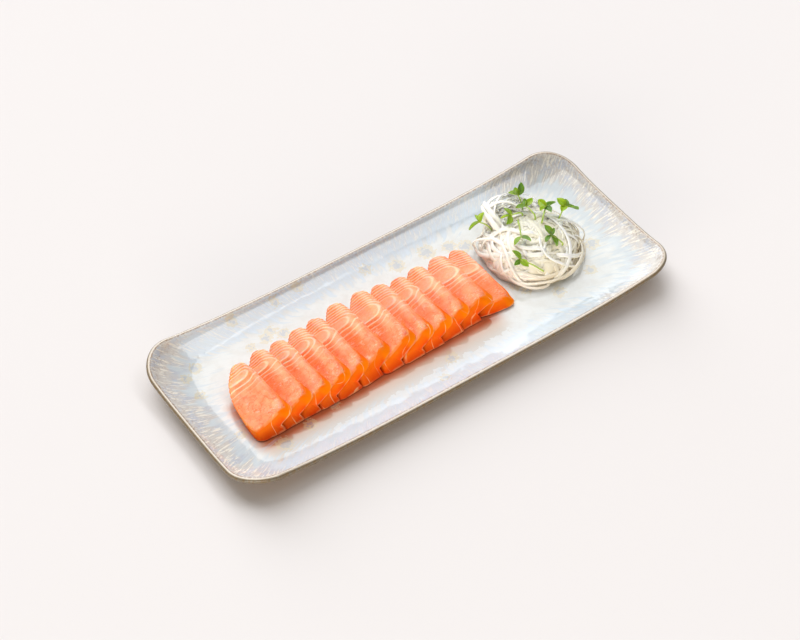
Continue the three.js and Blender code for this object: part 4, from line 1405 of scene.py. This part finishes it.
def leaf_shape():
    """One leaf of unit length along X: a cupped, wavy blade with a middle fold, and both its faces"""
    t = np.linspace(0, 1, LEAF_ROWS + 1)[:, None]
    w = np.linspace(-1, 1, LEAF_COLUMNS + 1)[None, :]
    blade = np.maximum(0, np.sin(math.pi * t**0.9)) ** LEAF_FULLNESS
    half = LEAF_HALF_WIDTH * np.maximum(LEAF_BASE_WIDTH * (1 - t), np.maximum(LEAF_TIP_WIDTH, blade))
    fold = 0.05 * (np.abs(w) - 0.5) * blade
    lift = blade * LEAF_CUP * w * w + LEAF_WAVE * np.sin(5 * t + 2 * w) * t + fold
    thick = LEAF_THICKNESS * (1 - 0.75 * np.abs(w) ** 3) * (1 - 0.6 * t)
    x, y = np.broadcast_to(t, lift.shape), half * w
    faces = [np.stack([x, y, lift + sign * thick / 2], -1) for sign in (1, -1)]
    points = np.concatenate([face.reshape(-1, 3) for face in faces])
    count = lift.size
    index = np.arange(count).reshape(lift.shape)
    border = along_border(index)
    after = np.roll(border, -1)
    rim = np.column_stack([border, after, after + count, border + count])
    quads = [grid_faces(index), grid_faces(index) + count, rim]
    from_vein = np.broadcast_to(np.abs(w), lift.shape)
    blade_places = np.column_stack([x.ravel(), from_vein.ravel(), np.ones(count)])
    mesh = make_mesh("cress_leaf", points / MM, quads, {"blade": np.tile(blade_places, (2, 1))})
    return bpy.data.objects.new("cress_leaf", mesh)


def make_cress(material):
    random = np.random.default_rng(LEAF_SEED)
    leaf = leaf_shape()
    tree = sprig_tree()
    for number, (foot, tip, leaves) in enumerate(SPRIGS, 1):
        stem = stem_path(foot, tip)
        heading, pitch, length = np.array(leaves, float).T
        along, across, facing = leaf_axes(heading, pitch)
        roll = np.radians(random.uniform(-LEAF_ROLL, LEAF_ROLL, len(leaves)))[:, None]
        facing = facing * np.cos(roll) + across * np.sin(roll)
        size = np.column_stack([length, length * random.uniform(*LEAF_WIDTHS, len(leaves)), length])
        points = np.concatenate([stem, np.array(tip) - along * LEAF_SUNK]) + HEAP_CENTRE
        blank = np.zeros((len(stem), 3))
        attributes = {
            "heading": np.concatenate([blank, along]),
            "facing": np.concatenate([blank, facing]),
            "size": np.concatenate([blank, size * MM]),
            "breadth": np.concatenate([np.linspace(*STEM_TAPER, len(stem)), np.ones(len(leaves))]),
            "tone": np.concatenate([np.zeros(len(stem)), random.uniform(0, 1, len(leaves))]),
            "is_leaf": np.arange(len(points)) >= len(stem),
        }
        name = f"cress_sprig_{number}"
        edges = [(i, i + 1) for i in range(len(stem) - 1)]
        radius = STEM_RADIUS * MM
        made = tree.made_from(name, points, edges, attributes, Radius=radius, Leaf=leaf, Material=material)
        add_piece(name, made, material, "cress", f"sprig_{number}")


# Stage

def add_camera():
    a, e = math.radians(CAMERA_AZIMUTH), math.radians(CAMERA_ELEVATION)
    back = Vector((math.sin(a) * math.cos(e), -math.cos(a) * math.cos(e), math.sin(e)))
    right = Vector((math.cos(a), math.sin(a), 0))
    up = back.cross(right)
    data = bpy.data.cameras.new("camera")
    data.lens = CAMERA_LENS
    data.sensor_width = CAMERA_SENSOR
    data.clip_end = 100
    camera = bpy.data.objects.new("camera", data)
    place = (back * CAMERA_DISTANCE + right * CAMERA_RIGHT + up * CAMERA_UP) * MM
    camera.matrix_world = Matrix.Translation(place) @ Matrix((right, up, back)).transposed().to_4x4()
    bpy.context.scene.collection.objects.link(camera)
    bpy.context.scene.camera = camera


def add_softbox(name, azimuth, elevation, roll, distance, size, power, tint=(1, 1, 1)):
    """A rectangular light that faces the plate. Its azimuth is from +Y towards +X"""
    data = bpy.data.lights.new(name, "AREA")
    data.shape = "RECTANGLE"
    data.size, data.size_y = size
    data.energy = power
    data.color = tint
    light = bpy.data.objects.new(name, data)
    way = Vector(direction(90 - azimuth, elevation))
    light.location = way * distance
    light.rotation_mode = "QUATERNION"
    light.rotation_quaternion = way.to_track_quat("Z", "Y") @ Quaternion((0, 0, 1), math.radians(roll))
    light.visible_camera = False
    bpy.context.scene.collection.objects.link(light)


def add_floor():
    corners = np.array([(-1, -1, 0), (1, -1, 0), (1, 1, 0), (-1, 1, 0)]) * FLOOR_HALF / MM
    mesh = make_mesh("floor", corners, [np.array([[0, 1, 2, 3]])])
    floor = bpy.data.objects.new("floor", mesh)
    bpy.context.scene.collection.objects.link(floor)
    mesh.materials.append(Finish("pale_floor").surface(base_color=colour(231, 228, 229), roughness=0.9))


def set_surround():
    world = bpy.data.worlds.new("surround")
    world.use_nodes = True
    background = world.node_tree.nodes["Background"]
    background.inputs["Color"].default_value = (*SURROUND_COLOUR, 1)
    background.inputs["Strength"].default_value = SURROUND_STRENGTH
    bpy.context.scene.world = world
    bpy.context.scene.view_settings.view_transform = "Standard"


add_camera()
set_surround()
add_softbox("back_softbox", **SOFTBOX)
add_softbox("top_strip", **TOP_STRIP)
add_softbox("front_fill", **FILL, tint=FILL_COLOUR)
add_floor()

make_plate(glaze_finish())
salmon = salmon_finish()
slices = slice_row()
neighbours = [*slices[1:], None]
for slice_number, slice_facts in enumerate(zip(slices, neighbours, FAT_HAIRPINS), 1):
    make_slice(slice_number, *slice_facts, salmon)
packed_shreds, loose_shreds = shred_paths()
shredder = shred_tree()
# Darker colours for the low parts of the heap are painted shade
cream = (214, 192, 150)
milky = radish_finish("radish_packed", (246, 243, 230), (234, 229, 210), cream, 0.1)
white = radish_finish("radish_shred", (253, 253, 250), (248, 249, 242), (228, 212, 180), 0.1)
make_shreds("radish_packed", packed_shreds, shredder, milky)
make_shreds("radish_strands", loose_shreds, shredder, white)
make_radish_core(radish_finish("radish_core", (248, 245, 230), (244, 238, 218), cream, 0.2))
make_cress(cress_finish())
